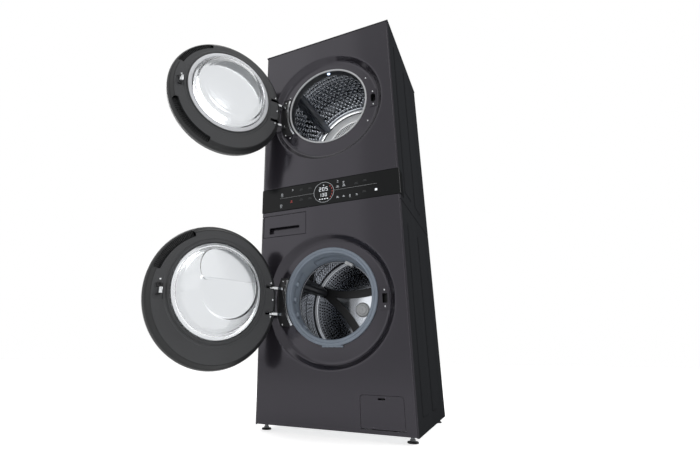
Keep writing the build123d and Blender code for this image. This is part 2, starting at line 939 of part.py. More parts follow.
with BuildPart() as counterweight:
    weight_front = tub_front_y - weight_thickness
    collar(weight_outer_radius, weight_inner_radius, weight_front, tub_front_y, drum_axis_height)
    block(
        (-weight_outer_radius, weight_outer_radius),
        (weight_front, tub_front_y),
        (drum_axis_height - weight_split, drum_axis_height + weight_split),
        Mode.SUBTRACT,
    )
save(counterweight, "counterweight")

with BuildPart() as motor_stator:
    stator_back = tub_back_y + stator_thickness
    collar(stator_outer_radius, stator_inner_radius, tub_back_y, stator_back, drum_axis_height)
save(motor_stator, "motor_stator")

with BuildPart() as suspension_springs:
    for side in (-1, 1):
        spring_foot = (side * spring_spread, depth(spring_depth), spring_lug_height)
        rod(spring_radius, spring_foot, (0, 0, 1), deck_bottom - spring_lug_height)
    for side in (-1, 1):
        spring_foot = (side * spring_spread, depth(spring_depth), spring_lug_height)
        bore = spring_radius - spring_wall
        rod(bore, spring_foot, (0, 0, 1), deck_bottom - spring_lug_height, Mode.SUBTRACT)
save(suspension_springs, "suspension_springs")

with BuildPart() as damper_cylinders:
    for side in (-1, 1):
        cylinder_foot = (side * damper_spread, depth(damper_depth), base_floor)
        rod(damper_radius, cylinder_foot, (0, 0, 1), damper_height)
    for side in (-1, 1):
        bore_floor = (side * damper_spread, depth(damper_depth), base_floor + damper_bore_floor)
        bore_length = damper_height - damper_bore_floor
        rod(rod_radius + running_clearance, bore_floor, (0, 0, 1), bore_length, Mode.SUBTRACT)
save(damper_cylinders, "damper_cylinders")

with BuildPart() as damper_rods:
    rod_bottom = base_floor + damper_height - rod_insertion
    for side in (-1, 1):
        rod_foot = (side * damper_spread, depth(damper_depth), rod_bottom)
        rod(rod_radius, rod_foot, (0, 0, 1), damper_lug_height - rod_bottom)
save(damper_rods, "damper_rods")

with BuildPart() as door_gasket:
    bead_front = depth(gasket_front_depth)
    panel_front = depth(dish_depth)
    panel_back = depth(dish_depth + panel_wall)
    clamp_front = panel_front - gasket_neck_clearance
    clamp_back = panel_back + gasket_neck_clearance
    flange_back = panel_back + gasket_clamp_width
    throat = washer_mouth_radius - gasket_neck_clearance
    sleeve = throat - gasket_neck_inset
    fold = throat - gasket_fold_inset
    gasket_end = collar_front - gasket_rear_clearance
    fold_front = gasket_end - gasket_fold_front
    fold_rear = gasket_end - gasket_fold_rear
    lip_front = panel_back + gasket_lip_front
    collar_inner = collar_radius - collar_wall
    turned(
        [
            (bead_front, gasket_bead_inner),
            (bead_front, gasket_bead_radius - gasket_bead_chamfer),
            (bead_front + gasket_bead_chamfer, gasket_bead_radius),
            (clamp_front, gasket_bead_radius),
            (clamp_front, throat),
            (clamp_back, throat),
            (clamp_back, collar_radius),
            (flange_back, collar_radius),
            (flange_back, sleeve),
            (fold_front, sleeve),
            (fold_front + gasket_wall, fold),
            (fold_rear - gasket_wall, fold),
            (fold_rear, collar_radius),
            (gasket_end, collar_radius),
            (gasket_end, collar_inner),
            (gasket_end - gasket_clamp_width, collar_inner),
            (fold_rear - gasket_wall / 2, fold - gasket_wall),
            (fold_front + gasket_wall / 2, fold - gasket_wall),
            (fold_front, sleeve - gasket_wall),
            (lip_front + gasket_wall, sleeve - gasket_wall),
            (lip_front + gasket_wall, gasket_lip_radius),
            (lip_front, gasket_lip_radius),
            (panel_front, gasket_bead_inner),
        ],
        washer_mouth_height,
    )
save(door_gasket, "door_gasket")


# Washer drum and direct drive

drum_front_y = depth(drum_front_depth)
drum_back_y = depth(drum_back_depth)

with BuildPart() as drum_shell:
    turned(
        [
            (drum_front_y, drum_lip_radius),
            (drum_front_y, drum_radius - drum_corner),
            (drum_front_y + drum_corner, drum_radius),
            (drum_back_y - drum_corner, drum_radius),
            (drum_back_y, drum_radius - drum_corner),
            (drum_back_y, 0),
            (drum_back_y - drum_wall, 0),
            (drum_back_y - drum_wall, drum_radius - drum_wall - drum_inner_corner),
            (drum_back_y - drum_wall - drum_inner_corner, drum_radius - drum_wall),
            (drum_front_y + drum_wall + drum_inner_corner, drum_radius - drum_wall),
            (drum_front_y + drum_wall, drum_radius - drum_wall - drum_inner_corner),
            (drum_front_y + drum_wall, drum_lip_radius),
        ],
        drum_axis_height,
    )
save(drum_shell, "drum_shell")


def lifters(inner_radius, axis_height, start_angle, y_from, y_to):
    """The paddles round a drum's wall, each one a tapered bar along the drum."""
    base = inner_radius - lifter_gap
    crest = base - lifter_height
    with BuildPart() as paddles:
        with BuildSketch(facing(y_to)):
            for index in range(lifter_count):
                angle = start_angle + index * 360 / lifter_count
                with BuildLine():
                    corners = [
                        (base, -lifter_base_width / 2),
                        (base, lifter_base_width / 2),
                        (crest, lifter_crest_width / 2),
                        (crest, -lifter_crest_width / 2),
                    ]
                    turn = radians(angle)
                    Polyline(
                        *[
                            (a * cos(turn) - b * sin(turn), axis_height + a * sin(turn) + b * cos(turn))
                            for a, b in corners
                        ],
                        close=True,
                    )
                make_face()
        extrude(amount=y_to - y_from)
        crest_edges = [
            edge
            for edge in paddles.edges().filter_by(Axis.Y)
            if (edge.center() - Vector(0, edge.center().Y, axis_height)).length < base - lifter_height / 2
        ]
        fillet(crest_edges, radius=lifter_round)
    return paddles


save(
    lifters(
        drum_radius - drum_wall,
        drum_axis_height,
        lifter_angle,
        drum_front_y + lifter_end_gap,
        drum_back_y - lifter_end_gap,
    ),
    "drum_lifters",
)

with BuildPart() as drum_spider:
    spider_back = drum_back_y + spider_thickness
    with BuildSketch(facing(spider_back)):
        with Locations((0, drum_axis_height)):
            Circle(spider_hub_radius)
            with PolarLocations(spider_arm_reach / 2, lifter_count, lifter_angle):
                Rectangle(spider_arm_reach, spider_arm_width)
    extrude(amount=spider_thickness)
    collar(shaft_radius, 0, spider_back, depth(shaft_end_depth), drum_axis_height)
save(drum_spider, "drum_spider")

with BuildPart() as motor_rotor:
    rotor_front = tub_back_y + rotor_back_gap
    rotor_back = depth(hub_end_depth) + rotor_back_gap + rotor_wall
    rotor_inner = stator_outer_radius + rotor_air_gap
    collar(rotor_radius, 0, rotor_front, rotor_back, drum_axis_height)
    collar(rotor_inner, 0, rotor_front, rotor_back - rotor_wall, drum_axis_height, Mode.SUBTRACT)
    collar(rotor_hub_radius, 0, rotor_back, depth(shaft_end_depth) - rotor_wall, drum_axis_height)
    rotor_bore = shaft_radius + running_clearance
    collar(rotor_bore, 0, rotor_front, depth(shaft_end_depth), drum_axis_height, Mode.SUBTRACT)
save(motor_rotor, "motor_rotor")


# Dryer bulkheads, drum and belt drive

with BuildPart() as dryer_mouth_ring:
    bead_front = depth(mouth_bead_front_depth)
    panel_front = depth(dish_depth)
    bulkhead_y = depth(bulkhead_depth)
    tube_inner = mouth_tube_radius - mouth_tube_wall
    collar(mouth_bead_radius, 0, bead_front, panel_front, dryer_mouth_height)
    collar(mouth_tube_radius, 0, panel_front, bulkhead_y, dryer_mouth_height)
    collar(bulkhead_radius, 0, bulkhead_y, bulkhead_y + bulkhead_wall, dryer_drum_height)
    glide_outer = dryer_neck_radius - glide_clearance
    glide_start = bulkhead_y + bulkhead_wall
    glide_end = glide_start + glide_length
    collar(glide_outer, glide_outer - glide_wall, glide_start, glide_end, dryer_drum_height)
    collar(tube_inner, 0, bead_front, bulkhead_y + bulkhead_wall, dryer_mouth_height, Mode.SUBTRACT)
save(dryer_mouth_ring, "dryer_mouth_ring")

rear_bulkhead_y = depth(rear_bulkhead_depth)

with BuildPart() as dryer_rear_bulkhead:
    block(
        (-side_inner, side_inner),
        (rear_bulkhead_y, rear_bulkhead_y + bulkhead_wall),
        (rear_bulkhead_bottom, rear_bulkhead_top),
    )
    boss_front = rear_bulkhead_y + bulkhead_wall - rear_boss_length / 2
    boss_back = boss_front + rear_boss_length
    collar(rear_boss_radius, 0, boss_front, boss_back, dryer_drum_height)
    shaft_bore = dryer_shaft_radius + running_clearance
    collar(shaft_bore, 0, boss_front, boss_back, dryer_drum_height, Mode.SUBTRACT)
save(dryer_rear_bulkhead, "dryer_rear_bulkhead")

dryer_front_y = depth(dryer_drum_front_depth)
dryer_back_y = depth(dryer_drum_back_depth)

with BuildPart() as dryer_drum:
    inner = dryer_drum_radius - dryer_drum_wall
    turned(
        [
            (dryer_front_y, dryer_neck_radius),
            (dryer_front_y, dryer_drum_radius),
            (dryer_back_y, dryer_drum_radius),
            (dryer_back_y, dryer_shaft_radius),
            (dryer_back_y + dryer_shaft_length, dryer_shaft_radius),
            (dryer_back_y + dryer_shaft_length, 0),
            (dryer_back_y - dryer_drum_wall, 0),
            (dryer_back_y - dryer_drum_wall, inner),
            (dryer_front_y + dryer_drum_wall, inner),
            (dryer_front_y + dryer_drum_wall, dryer_neck_radius),
        ],
        dryer_drum_height,
    )
save(dryer_drum, "dryer_drum")

save(
    lifters(
        dryer_drum_radius - dryer_drum_wall,
        dryer_drum_height,
        dryer_lifter_angle,
        dryer_front_y + lifter_end_gap,
        dryer_back_y - lifter_end_gap,
    ),
    "dryer_lifters",
)

belt_back = depth(belt_depth) + belt_width / 2


def belt_outline(gap):
    """The face inside a belt that runs this far outside the drum and the pulley."""
    with BuildSketch(facing(belt_back), mode=Mode.PRIVATE) as outline:
        with Locations((0, dryer_drum_height)):
            Circle(dryer_drum_radius + gap)
        with Locations(motor_place):
            Circle(pulley_radius + gap)
        make_hull()
    return outline.sketch


with BuildPart() as drum_belt:
    extrude(belt_outline(belt_clearance + belt_thickness), amount=belt_width)
    extrude(belt_outline(belt_clearance), amount=belt_width, mode=Mode.SUBTRACT)
save(drum_belt, "drum_belt")

motor_x, motor_z = motor_place

with BuildPart() as dryer_motor:
    motor_front = depth(motor_front_depth)
    rod(motor_radius, (motor_x, motor_front, motor_z), (0, 1, 0), motor_length)
    block(
        (motor_x - motor_foot_width / 2, motor_x + motor_foot_width / 2),
        (motor_front, motor_front + motor_length),
        (deck_floor, motor_z),
    )
    shaft_bore = motor_shaft_radius + running_clearance
    rod(shaft_bore, (motor_x, motor_front, motor_z), (0, 1, 0), motor_shaft_inset, Mode.SUBTRACT)
save(dryer_motor, "dryer_motor")

with BuildPart() as motor_shaft:
    pulley_front = depth(belt_depth) - pulley_width / 2
    shaft_length = motor_front + motor_shaft_inset - panel_gap - pulley_front
    rod(motor_shaft_radius, (motor_x, pulley_front, motor_z), (0, 1, 0), shaft_length)
    rod(pulley_radius, (motor_x, pulley_front, motor_z), (0, 1, 0), pulley_width)
save(motor_shaft, "motor_shaft")

with BuildPart() as heat_exchanger:
    exchanger_width, exchanger_length, exchanger_height = exchanger_size
    exchanger_x, exchanger_front = exchanger_place
    exchanger_y = depth(exchanger_front + exchanger_length / 2)
    exchanger_z = deck_floor + exchanger_height / 2
    fin_pitch = (exchanger_width - exchanger_fin_thickness) / (exchanger_fins - 1)
    with Locations((exchanger_x, exchanger_y, exchanger_z)):
        with GridLocations(fin_pitch, 0, exchanger_fins, 1):
            Box(exchanger_fin_thickness, exchanger_length, exchanger_height)
    rows, layers = exchanger_tubes
    for row in range(rows):
        tube_y = depth(exchanger_front + exchanger_length * (row + 0.5) / rows)
        for layer in range(layers):
            tube_z = deck_floor + exchanger_height * (layer + 0.5) / layers
            tube_start = (exchanger_x - exchanger_width / 2, tube_y, tube_z)
            rod(exchanger_tube_radius, tube_start, (1, 0, 0), exchanger_width)
save(heat_exchanger, "heat_exchanger")


# Rear fittings

with BuildPart() as inlet_valve:
    block_width, block_depth, block_height = inlet_block
    inlet_x = sum(inlet_places) / len(inlet_places)
    block(
        (inlet_x - block_width / 2, inlet_x + block_width / 2),
        (back_y - sheet - block_depth, back_y - sheet),
        (inlet_height - block_height / 2, inlet_height + block_height / 2),
    )
    for spigot_x in inlet_places:
        rod(inlet_neck_radius, (spigot_x, back_y - sheet, inlet_height), (0, 1, 0), sheet)
        rod(inlet_spigot_radius, (spigot_x, back_y, inlet_height), (0, 1, 0), inlet_spigot_length)
save(inlet_valve, "inlet_valve")

with BuildPart() as mains_gland:
    gland_x, gland_z = gland_place
    inner_flange = (gland_x, back_y - sheet - base_wall, gland_z)
    rod(gland_flange_radius, inner_flange, (0, 1, 0), base_wall)
    rod(gland_radius, inner_flange, (0, 1, 0), base_wall + sheet + gland_length)
    rod(gland_bore_radius, inner_flange, (0, 1, 0), base_wall + sheet + gland_length, Mode.SUBTRACT)
save(mains_gland, "mains_gland")


# Door hinges


def arm_heights(dish_height):
    """The heights of a hinge's two arms."""
    return (dish_height - hinge_arm_spread, dish_height + hinge_arm_spread)


def hinge_bracket(dish_height, mouth_height):
    """The plate on a dish floor, with two arms that reach forward to the hinge pins."""
    floor = depth(dish_depth)
    with BuildPart() as bracket:
        block(
            (hinge_plate_left, hinge_plate_left + hinge_plate_width),
            (floor - hinge_plate_thickness, floor),
            (dish_height - hinge_plate_height / 2, dish_height + hinge_plate_height / 2),
        )
        collar(hinge_plate_relief, 0, floor - hinge_plate_thickness, floor, mouth_height, Mode.SUBTRACT)
        plate_edge = dish_floor_radius - hinge_plate_edge_gap
        collar(dish_radius, plate_edge, floor - hinge_plate_thickness, floor, dish_height, Mode.SUBTRACT)
        for arm_height in arm_heights(dish_height):
            with BuildSketch(Plane.XY.offset(arm_height - hinge_arm_thickness / 2)):
                with Locations((hinge_offset, hinge_axis_y)):
                    Circle(hinge_eye_radius)
                with Locations((hinge_arm_root[0], depth(hinge_arm_root[1]))):
                    Circle(hinge_eye_radius)
                make_hull()
            extrude(amount=hinge_arm_thickness)
            pin_bottom = (hinge_offset, hinge_axis_y, arm_height - hinge_pin_reach)
            rod(hinge_pin_radius, pin_bottom, (0, 0, 1), 2 * hinge_pin_reach)
    return bracket


def door_hinge(dish_height):
    """The door's half of the hinge: a spine inside the door with knuckles round the pins."""
    spine_front = front_y - spine_back
    spine_right = spine_left + spine_width
    with BuildPart() as hinge:
        block(
            (spine_left, spine_right),
            (spine_front, spine_front + spine_thickness),
            (dish_height - spine_half_height, dish_height + spine_half_height),
        )
        for arm_height in arm_heights(dish_height):
            above = arm_height + hinge_arm_thickness / 2 + knuckle_gap
            below = arm_height - hinge_arm_thickness / 2 - knuckle_gap - knuckle_height
            for knuckle_bottom in (below, above):
                with BuildSketch(Plane.XY.offset(knuckle_bottom)):
                    with Locations((hinge_offset, hinge_axis_y)):
                        Circle(knuckle_radius)
                    with Locations((spine_left + knuckle_radius, spine_front + knuckle_radius)):
                        Circle(knuckle_radius)
                    make_hull()
                extrude(amount=knuckle_height)
                bore_start = (hinge_offset, hinge_axis_y, knuckle_bottom)
                bore = hinge_pin_radius + running_clearance
                rod(bore, bore_start, (0, 0, 1), knuckle_height, Mode.SUBTRACT)
        for end in (-1, 1):
            pad_end = dish_height + end * spine_half_height
            pad_start = pad_end - end * spine_pad_height
            block(
                (spine_left, spine_right),
                (spine_front, front_y - door_back_gap - door_wall),
                (min(pad_start, pad_end), max(pad_start, pad_end)),
            )
    return hinge


save(hinge_bracket(washer_dish_height, washer_mouth_height), "washer_hinge_bracket")
save(hinge_bracket(dryer_dish_height, dryer_mouth_height), "dryer_hinge_bracket")


# Doors, modelled shut


def cut_arm_slots(dish_height):
    """Open the door's edge where the hinge arms pass as it swings."""
    slot_half = hinge_arm_thickness / 2 + hinge_slot_margin
    for arm_height in arm_heights(dish_height):
        block(
            hinge_slot,
            (hinge_axis_y - hinge_eye_radius - hinge_slot_margin, depth(ring_step_height + door_wall)),
            (arm_height - slot_half, arm_height + slot_half),
            Mode.SUBTRACT,
        )


def door_section(window_edge):
    """A door's section, filled in from a window edge to the rounded rim, longer than the door."""
    back = front_y - door_back_gap
    rear = back + 2 * door_wall
    face = front_y - door_thickness
    shoulder = front_y - door_shoulder_share * door_thickness
    rim_back = (back, door_radius - door_back_inset)
    rim_middle = (front_y - hinge_forward, door_radius)
    rim_shoulder = (shoulder, door_radius - door_shoulder_inset)
    turn = (face + door_wall, door_radius - door_turn_inset)
    face_edge = (face, door_radius - door_face_inset)
    with BuildSketch(Plane.XY, mode=Mode.PRIVATE) as section:
        with BuildLine():
            ThreePointArc(rim_back, rim_middle, rim_shoulder)
            ThreePointArc(rim_shoulder, turn, face_edge)
            Polyline(
                face_edge,
                (face, window_edge),
                (rear, window_edge),
                (rear, door_radius - door_back_inset),
                rim_back,
            )
        make_face()
    return section.sketch


def door_frame(dish_height):
    """The outer shell of a door: a rounded ring with a window in its face."""
    back = front_y - door_back_gap
    with BuildPart() as frame:
        with BuildSketch(Plane(origin=(0, 0, dish_height), x_dir=(0, 1, 0), z_dir=(1, 0, 0))):
            add(door_section(window_radius))
            hollow = door_section(window_radius - 2 * door_wall)
            offset(hollow, amount=-door_wall, mode=Mode.SUBTRACT)
        revolve(axis=Axis((0, 0, dish_height), (0, 1, 0)))
        collar(door_radius, 0, back, back + 2 * door_wall, dish_height, Mode.SUBTRACT)
        cut_arm_slots(dish_height)
    return frame


def door_window(dish_height):
    """The clear outer window, let into the frame from inside."""
    face = front_y - door_thickness
    with BuildPart() as pane:
        collar(window_radius - glass_rim_clearance, 0, face, face + door_wall, dish_height)
        collar(window_radius + window_ledge, 0, face + door_wall, face + 2 * door_wall, dish_height)
    return pane


def door_ring(dish_height, mouth_height, with_hook):
    """The inner ring of a door: a flange and a raised step that holds the bowl."""
    back = front_y - door_back_gap
    top = depth(ring_step_height)
    lock_height = dish_height - lock_drop
    with BuildPart() as ring:
        turned(
            [
                (back - door_wall, ring_edge_radius),
                (back, ring_edge_radius),
                (back, ring_step_radius),
                (top, ring_step_radius),
                (top, 0),
                (top - door_wall, 0),
                (top - door_wall, ring_step_radius - door_wall),
                (back - door_wall, ring_step_radius - door_wall),
            ],
            dish_height,
        )
        collar(glass_radius, 0, top - door_wall, top, mouth_height, Mode.SUBTRACT)
        cut_arm_slots(dish_height)
        if with_hook:
            place = (lock_place_x, lock_height)
            window(*hook_opening, place, hook_opening_corner, top - door_wall, top)
            lug_width, lug_depth, lug_height = hook_lug_size
            pivot_y = depth(hook_pivot_depth)
            for end in (-1, 1):
                lug_near = lock_height + end * hook_opening[1] / 2
                lug_far = lug_near + end * lug_height
                block(
                    (lock_place_x - lug_width / 2, lock_place_x + lug_width / 2),
                    (top - door_wall - lug_depth, top - door_wall),
                    (min(lug_near, lug_far), max(lug_near, lug_far)),
                )
            bore = hook_pin_radius + running_clearance
            bore_start = (lock_place_x, pivot_y, lock_height - hook_pin_reach - lug_height)
            rod(bore, bore_start, (0, 0, 1), 2 * (hook_pin_reach + lug_height), Mode.SUBTRACT)
    return ring


def door_bowl(mouth_height, bowl_depth, bowl_radius):
    """The glass bowl, with a flange that lies behind the ring's step."""
    seat = depth(ring_step_height - door_wall)
    rim = glass_radius - glass_rim_clearance
    flange_back = seat - glass_thickness
    throat = depth(bowl_throat_depth)
    end = depth(bowl_depth)
    with BuildPart() as bowl:
        turned(
            [
                (flange_back, glass_radius + glass_flange),
                (seat, glass_radius + glass_flange),
                (seat, rim),
                (throat, bowl_throat_radius),
                (end, bowl_radius),
                (end, 0),
                (end - glass_thickness, 0),
                (end - glass_thickness, bowl_radius - glass_thickness),
                (throat, bowl_throat_radius - glass_thickness),
                (flange_back, rim - glass_thickness),
            ],
            mouth_height,
        )
    return bowl


def opened(builder, angle):
    """The finished piece, swung open about the hinge pins."""
    return builder.part.rotate(Axis((hinge_offset, hinge_axis_y, 0), (0, 0, 1)), -angle)


with BuildPart() as door_hook:
    hook_width, hook_height = hook_size
    nose_width, nose_depth = hook_nose
    hook_z = washer_dish_height - lock_drop
    hook_front = depth(hook_pivot_depth) - hook_pin_radius
    hook_span = (hook_z - hook_height / 2, hook_z + hook_height / 2)
    hook_right = lock_place_x + hook_width / 2
    block((lock_place_x - hook_width / 2, hook_right), (hook_front, depth(hook_reach)), hook_span)
    nose_span = (depth(hook_reach - nose_depth), depth(hook_reach))
    block((hook_right, hook_right + nose_width), nose_span, hook_span)
    pin_bottom = (lock_place_x, depth(hook_pivot_depth), hook_z - hook_pin_reach)
    rod(hook_pin_radius, pin_bottom, (0, 0, 1), 2 * hook_pin_reach)

with BuildPart() as door_strike:
    strike_width, strike_height = strike_size
    strike_z = dryer_dish_height - lock_drop
    strike_half = strike_height / 2
    block(
        (lock_place_x - strike_width / 2, lock_place_x + strike_width / 2),
        (depth(ring_step_height), depth(strike_reach)),
        (strike_z - strike_half, strike_z + strike_half),
    )
    eye_y = depth(strike_reach - 2 * strike_eye_radius)
    eye_start = (lock_place_x - strike_width / 2, eye_y, strike_z)
    rod(strike_eye_radius, eye_start, (1, 0, 0), strike_width, Mode.SUBTRACT)

washer_bowl = door_bowl(washer_mouth_height, washer_bowl_depth, washer_bowl_radius)
dryer_bowl = door_bowl(dryer_mouth_height, dryer_bowl_depth, dryer_bowl_radius)
washer_pieces = {
    "frame": door_frame(washer_dish_height),
    "window": door_window(washer_dish_height),
    "ring": door_ring(washer_dish_height, washer_mouth_height, True),
    "bowl": washer_bowl,
    "hinge": door_hinge(washer_dish_height),
    "hook": door_hook,
}
dryer_pieces = {
    "frame": door_frame(dryer_dish_height),
    "window": door_window(dryer_dish_height),
    "ring": door_ring(dryer_dish_height, dryer_mouth_height, False),
    "bowl": dryer_bowl,
    "hinge": door_hinge(dryer_dish_height),
    "strike": door_strike,
}
for piece, builder in washer_pieces.items():
    finish(opened(builder, washer_open_angle), f"washer_door_{piece}")
for piece, builder in dryer_pieces.items():
    finish(opened(builder, dryer_open_angle), f"dryer_door_{piece}")
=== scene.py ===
"""Looks of the laundry tower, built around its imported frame.

Tables are in millimetres: x to the right, depth behind the front plane, height above the floor. The
doors are modelled shut and then swung to their rest pose.
"""

import json
import math

import bpy
from mathutils import Matrix, Vector


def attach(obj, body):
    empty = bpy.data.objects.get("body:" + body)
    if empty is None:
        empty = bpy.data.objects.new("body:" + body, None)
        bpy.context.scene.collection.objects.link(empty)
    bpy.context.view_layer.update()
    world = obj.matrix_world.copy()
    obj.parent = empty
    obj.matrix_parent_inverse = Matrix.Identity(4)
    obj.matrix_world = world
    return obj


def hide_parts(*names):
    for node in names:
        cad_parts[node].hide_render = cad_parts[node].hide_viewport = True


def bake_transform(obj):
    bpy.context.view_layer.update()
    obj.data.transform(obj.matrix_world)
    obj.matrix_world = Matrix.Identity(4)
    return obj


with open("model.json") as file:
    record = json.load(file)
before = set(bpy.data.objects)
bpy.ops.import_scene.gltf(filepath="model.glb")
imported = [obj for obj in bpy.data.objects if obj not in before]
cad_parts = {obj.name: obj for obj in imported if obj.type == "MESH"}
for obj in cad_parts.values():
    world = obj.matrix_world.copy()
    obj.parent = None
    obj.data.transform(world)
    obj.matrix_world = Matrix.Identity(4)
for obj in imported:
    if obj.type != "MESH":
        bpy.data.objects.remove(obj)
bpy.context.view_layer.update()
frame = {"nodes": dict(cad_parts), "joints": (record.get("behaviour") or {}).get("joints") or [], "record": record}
joints = {joint["name"]: joint for joint in frame["joints"]}

MM = 0.001
FRONT = -300
ROUND = 128
FACING = (math.pi / 2, 0, 0)
SIDEWAYS = (0, math.pi / 2, 0)
NEAR = 1
WELD = 0.01 * MM
RELIEF_DEPTH = 0.2 * MM

PANEL_HALF = 293.5
PANEL_DEPTH = 18
PANEL_WALL = 1.5
DISH_DEPTH = 27
DISH_RIM = 262
LOCK_X = 210
LOCK_DROP = 3
LOCK_FACE = 24.4
MOUTH_RISE = 16.5
WASHER_DISH = 465
DRYER_DISH = 1302
WASHER_MOUTH = WASHER_DISH + MOUTH_RISE
DRYER_MOUTH = DRYER_DISH + MOUTH_RISE
WASHER_AXIS = 465
DRYER_AXIS = 1310
HINGE_ARM = 50
SIDE_START = 3
SIDE_RETURN_DEPTH = 1.6


def spot(x, depth, height):
    """A place in metres from millimetres across, behind the front plane and above the floor."""
    return Vector((x, FRONT + depth, height)) * MM


def polar(radius, degrees, height):
    """Millimetres across and up for a place on a circle seen from the front."""
    angle = math.radians(degrees)
    return radius * math.cos(angle), height + radius * math.sin(angle)


# Materials


def tone(red, green, blue):
    """Linear colour for a screen colour from 0 to 255."""
    shares = [level / 255 for level in (red, green, blue)]
    return [share / 12.92 if share <= 0.04045 else ((share + 0.055) / 1.055) ** 2.4 for share in shares]


def scaled(colour, share):
    """The same colour, lighter or darker, as a socket takes it."""
    return (*(level * share for level in colour), 1)


class Value:
    """A node's output that can stand in a formula."""

    def __init__(self, graph, socket):
        self.graph = graph
        self.socket = socket

    def formula(self, operation, left, right):
        return self.graph.node("ShaderNodeMath", {"operation": operation}, {0: left, 1: right})

    def highest(self, other):
        return self.formula("MAXIMUM", self, other)

    def __add__(self, other):
        return self.formula("ADD", self, other)

    def __sub__(self, other):
        return self.formula("SUBTRACT", self, other)

    def __mul__(self, other):
        return self.formula("MULTIPLY", self, other)

    __radd__ = __add__
    __rmul__ = __mul__


class Graph:
    """The node tree of a material or a world."""

    def __init__(self, owner):
        owner.use_nodes = True
        self.tree = owner.node_tree

    def node(self, kind, settings, inputs, output=0):
        made = self.tree.nodes.new(kind)
        for key, value in settings.items():
            setattr(made, key, value)
        self.feed(made, inputs)
        return Value(self, made.outputs[output])

    def feed(self, node, inputs):
        for key, value in inputs.items():
            if isinstance(value, Value):
                self.tree.links.new(value.socket, node.inputs[key])
            else:
                node.inputs[key].default_value = value

    def ray(self, kind):
        return self.node("ShaderNodeLightPath", {}, {}, f"Is {kind} Ray")


class Finish(Graph):
    """A material made of nodes, seen in the object's own coordinates."""

    def __init__(self, name, settings):
        self.material = bpy.data.materials.new(name)
        super().__init__(self.material)
        self.place = self.node("ShaderNodeTexCoord", {}, {}, "Object")
        self.wear(settings)

    def wear(self, settings):
        self.feed(self.tree.nodes["Principled BSDF"], settings)
        return self

    def noise(self, scale, detail=2, stretch=(1, 1, 1)):
        place = self.node("ShaderNodeMapping", {}, {"Vector": self.place, "Scale": stretch})
        return self.node("ShaderNodeTexNoise", {}, {"Vector": place, "Scale": scale, "Detail": detail})

    def mix(self, share, low, high):
        return self.node("ShaderNodeMix", {"data_type": "RGBA"}, {0: share, 6: low, 7: high}, 2)

    def shades(self, share, colour, low, high):
        return self.mix(share, scaled(colour, low), scaled(colour, high))

    def skin(self, colour, roughness, relief, strength):
        bump = {"Height": relief, "Strength": strength, "Distance": RELIEF_DEPTH}
        normal = self.node("ShaderNodeBump", {}, bump)
        return self.wear({"Base Color": colour, "Roughness": roughness, "Normal": normal})


def painted(name, colour, roughness, sheen, tint=(1, 1, 1, 1)):
    """Powder coat: a faint drift of shade under a fine orange peel."""
    finish = Finish(name, {"Specular IOR Level": sheen, "Specular Tint": tint})
    drift = finish.noise(2.2, 3)
    peel = finish.noise(420, 2)
    shade = finish.shades(drift, colour, 0.92, 1.08)
    return finish.skin(shade, roughness + 0.06 * (drift - 0.5), peel, 0.03)


def side_painted(name, colour, return_colour_and_sheen):
    """Matt side paint; the narrow return that faces forwards has the front's colour, lightened with a painted
    sheen because this paint has no gloss.
    """
    finish = painted(name, colour, 0.7, 0)
    depth = finish.node("ShaderNodeSeparateXYZ", {}, {0: finish.place}, "Y")
    faces_front = depth.formula("LESS_THAN", depth, (FRONT + SIDE_START + SIDE_RETURN_DEPTH) * MM)
    side = finish.shades(finish.noise(9, 2, (1, 1, 0.04)), colour, 0.8, 1.2)
    return finish.wear({"Base Color": finish.mix(faces_front, side, scaled(return_colour_and_sheen, 1))})


def moulded(name, colour, roughness, grain=900, sheen=0.45):
    """Moulded plastic with a fine spark-eroded grain."""
    finish = Finish(name, {"Specular IOR Level": sheen})
    shade = finish.shades(finish.noise(6, 3), colour, 0.9, 1.1)
    fine = finish.noise(grain, 3)
    return finish.skin(shade, roughness + 0.12 * (fine - 0.5), fine, 0.12)


def metal(name, colour, roughness, stretch, scale=60):
    """Bare metal with rolling or turning marks along one direction."""
    finish = Finish(name, {"Metallic": 1})
    shade = finish.shades(finish.noise(5, 2), colour, 0.85, 1.1)
    marks = finish.noise(scale, 4, stretch)
    return finish.skin(shade, roughness + 0.2 * roughness * (marks - 0.5), marks, 0.08)


def rubbery(name, colour, roughness):
    """Rubber with a soft bloom on it."""
    finish = Finish(name, {"Specular IOR Level": 0.35})
    bloom = finish.noise(14, 4)
    shade = finish.shades(bloom, colour, 0.86, 1.12)
    return finish.skin(shade, roughness + 0.2 * (bloom - 0.5), finish.noise(700, 2), 0.1)


def glazed(name, colour, roughness, bend):
    """Clear glass with faint traces of wiping, which bends light by a given index."""
    finish = Finish(name, {"Transmission Weight": 1, "IOR": bend})
    wiped = finish.noise(9, 4, (1, 1, 0.3))
    shade = finish.shades(wiped, colour, 0.98, 1)
    return finish.wear({"Base Color": shade, "Roughness": roughness * (0.7 + 0.3 * wiped)})


def glossy(name, colour, roughness):
    """Dark printed glass under a clear coat."""
    finish = Finish(name, {"Specular IOR Level": 0.12})
    wiped = finish.noise(7, 4)
    shade = finish.shades(wiped, colour, 0.93, 1.07)
    return finish.wear({"Base Color": shade, "Roughness": roughness + 0.1 * wiped})


def lit(name, colour, strength):
    """A lit mark whose brightness falls off a little from place to place."""
    finish = Finish(name, {"Emission Strength": strength, "Roughness": 0.4})
    glow = finish.shades(finish.noise(120, 2), colour, 0.8, 1)
    return finish.wear({"Base Color": glow, "Emission Color": glow})


ALONG_X = (0.05, 1, 1)
ALONG_Z = (1, 1, 0.05)
VIOLET = (0.93, 0.9, 1, 1)

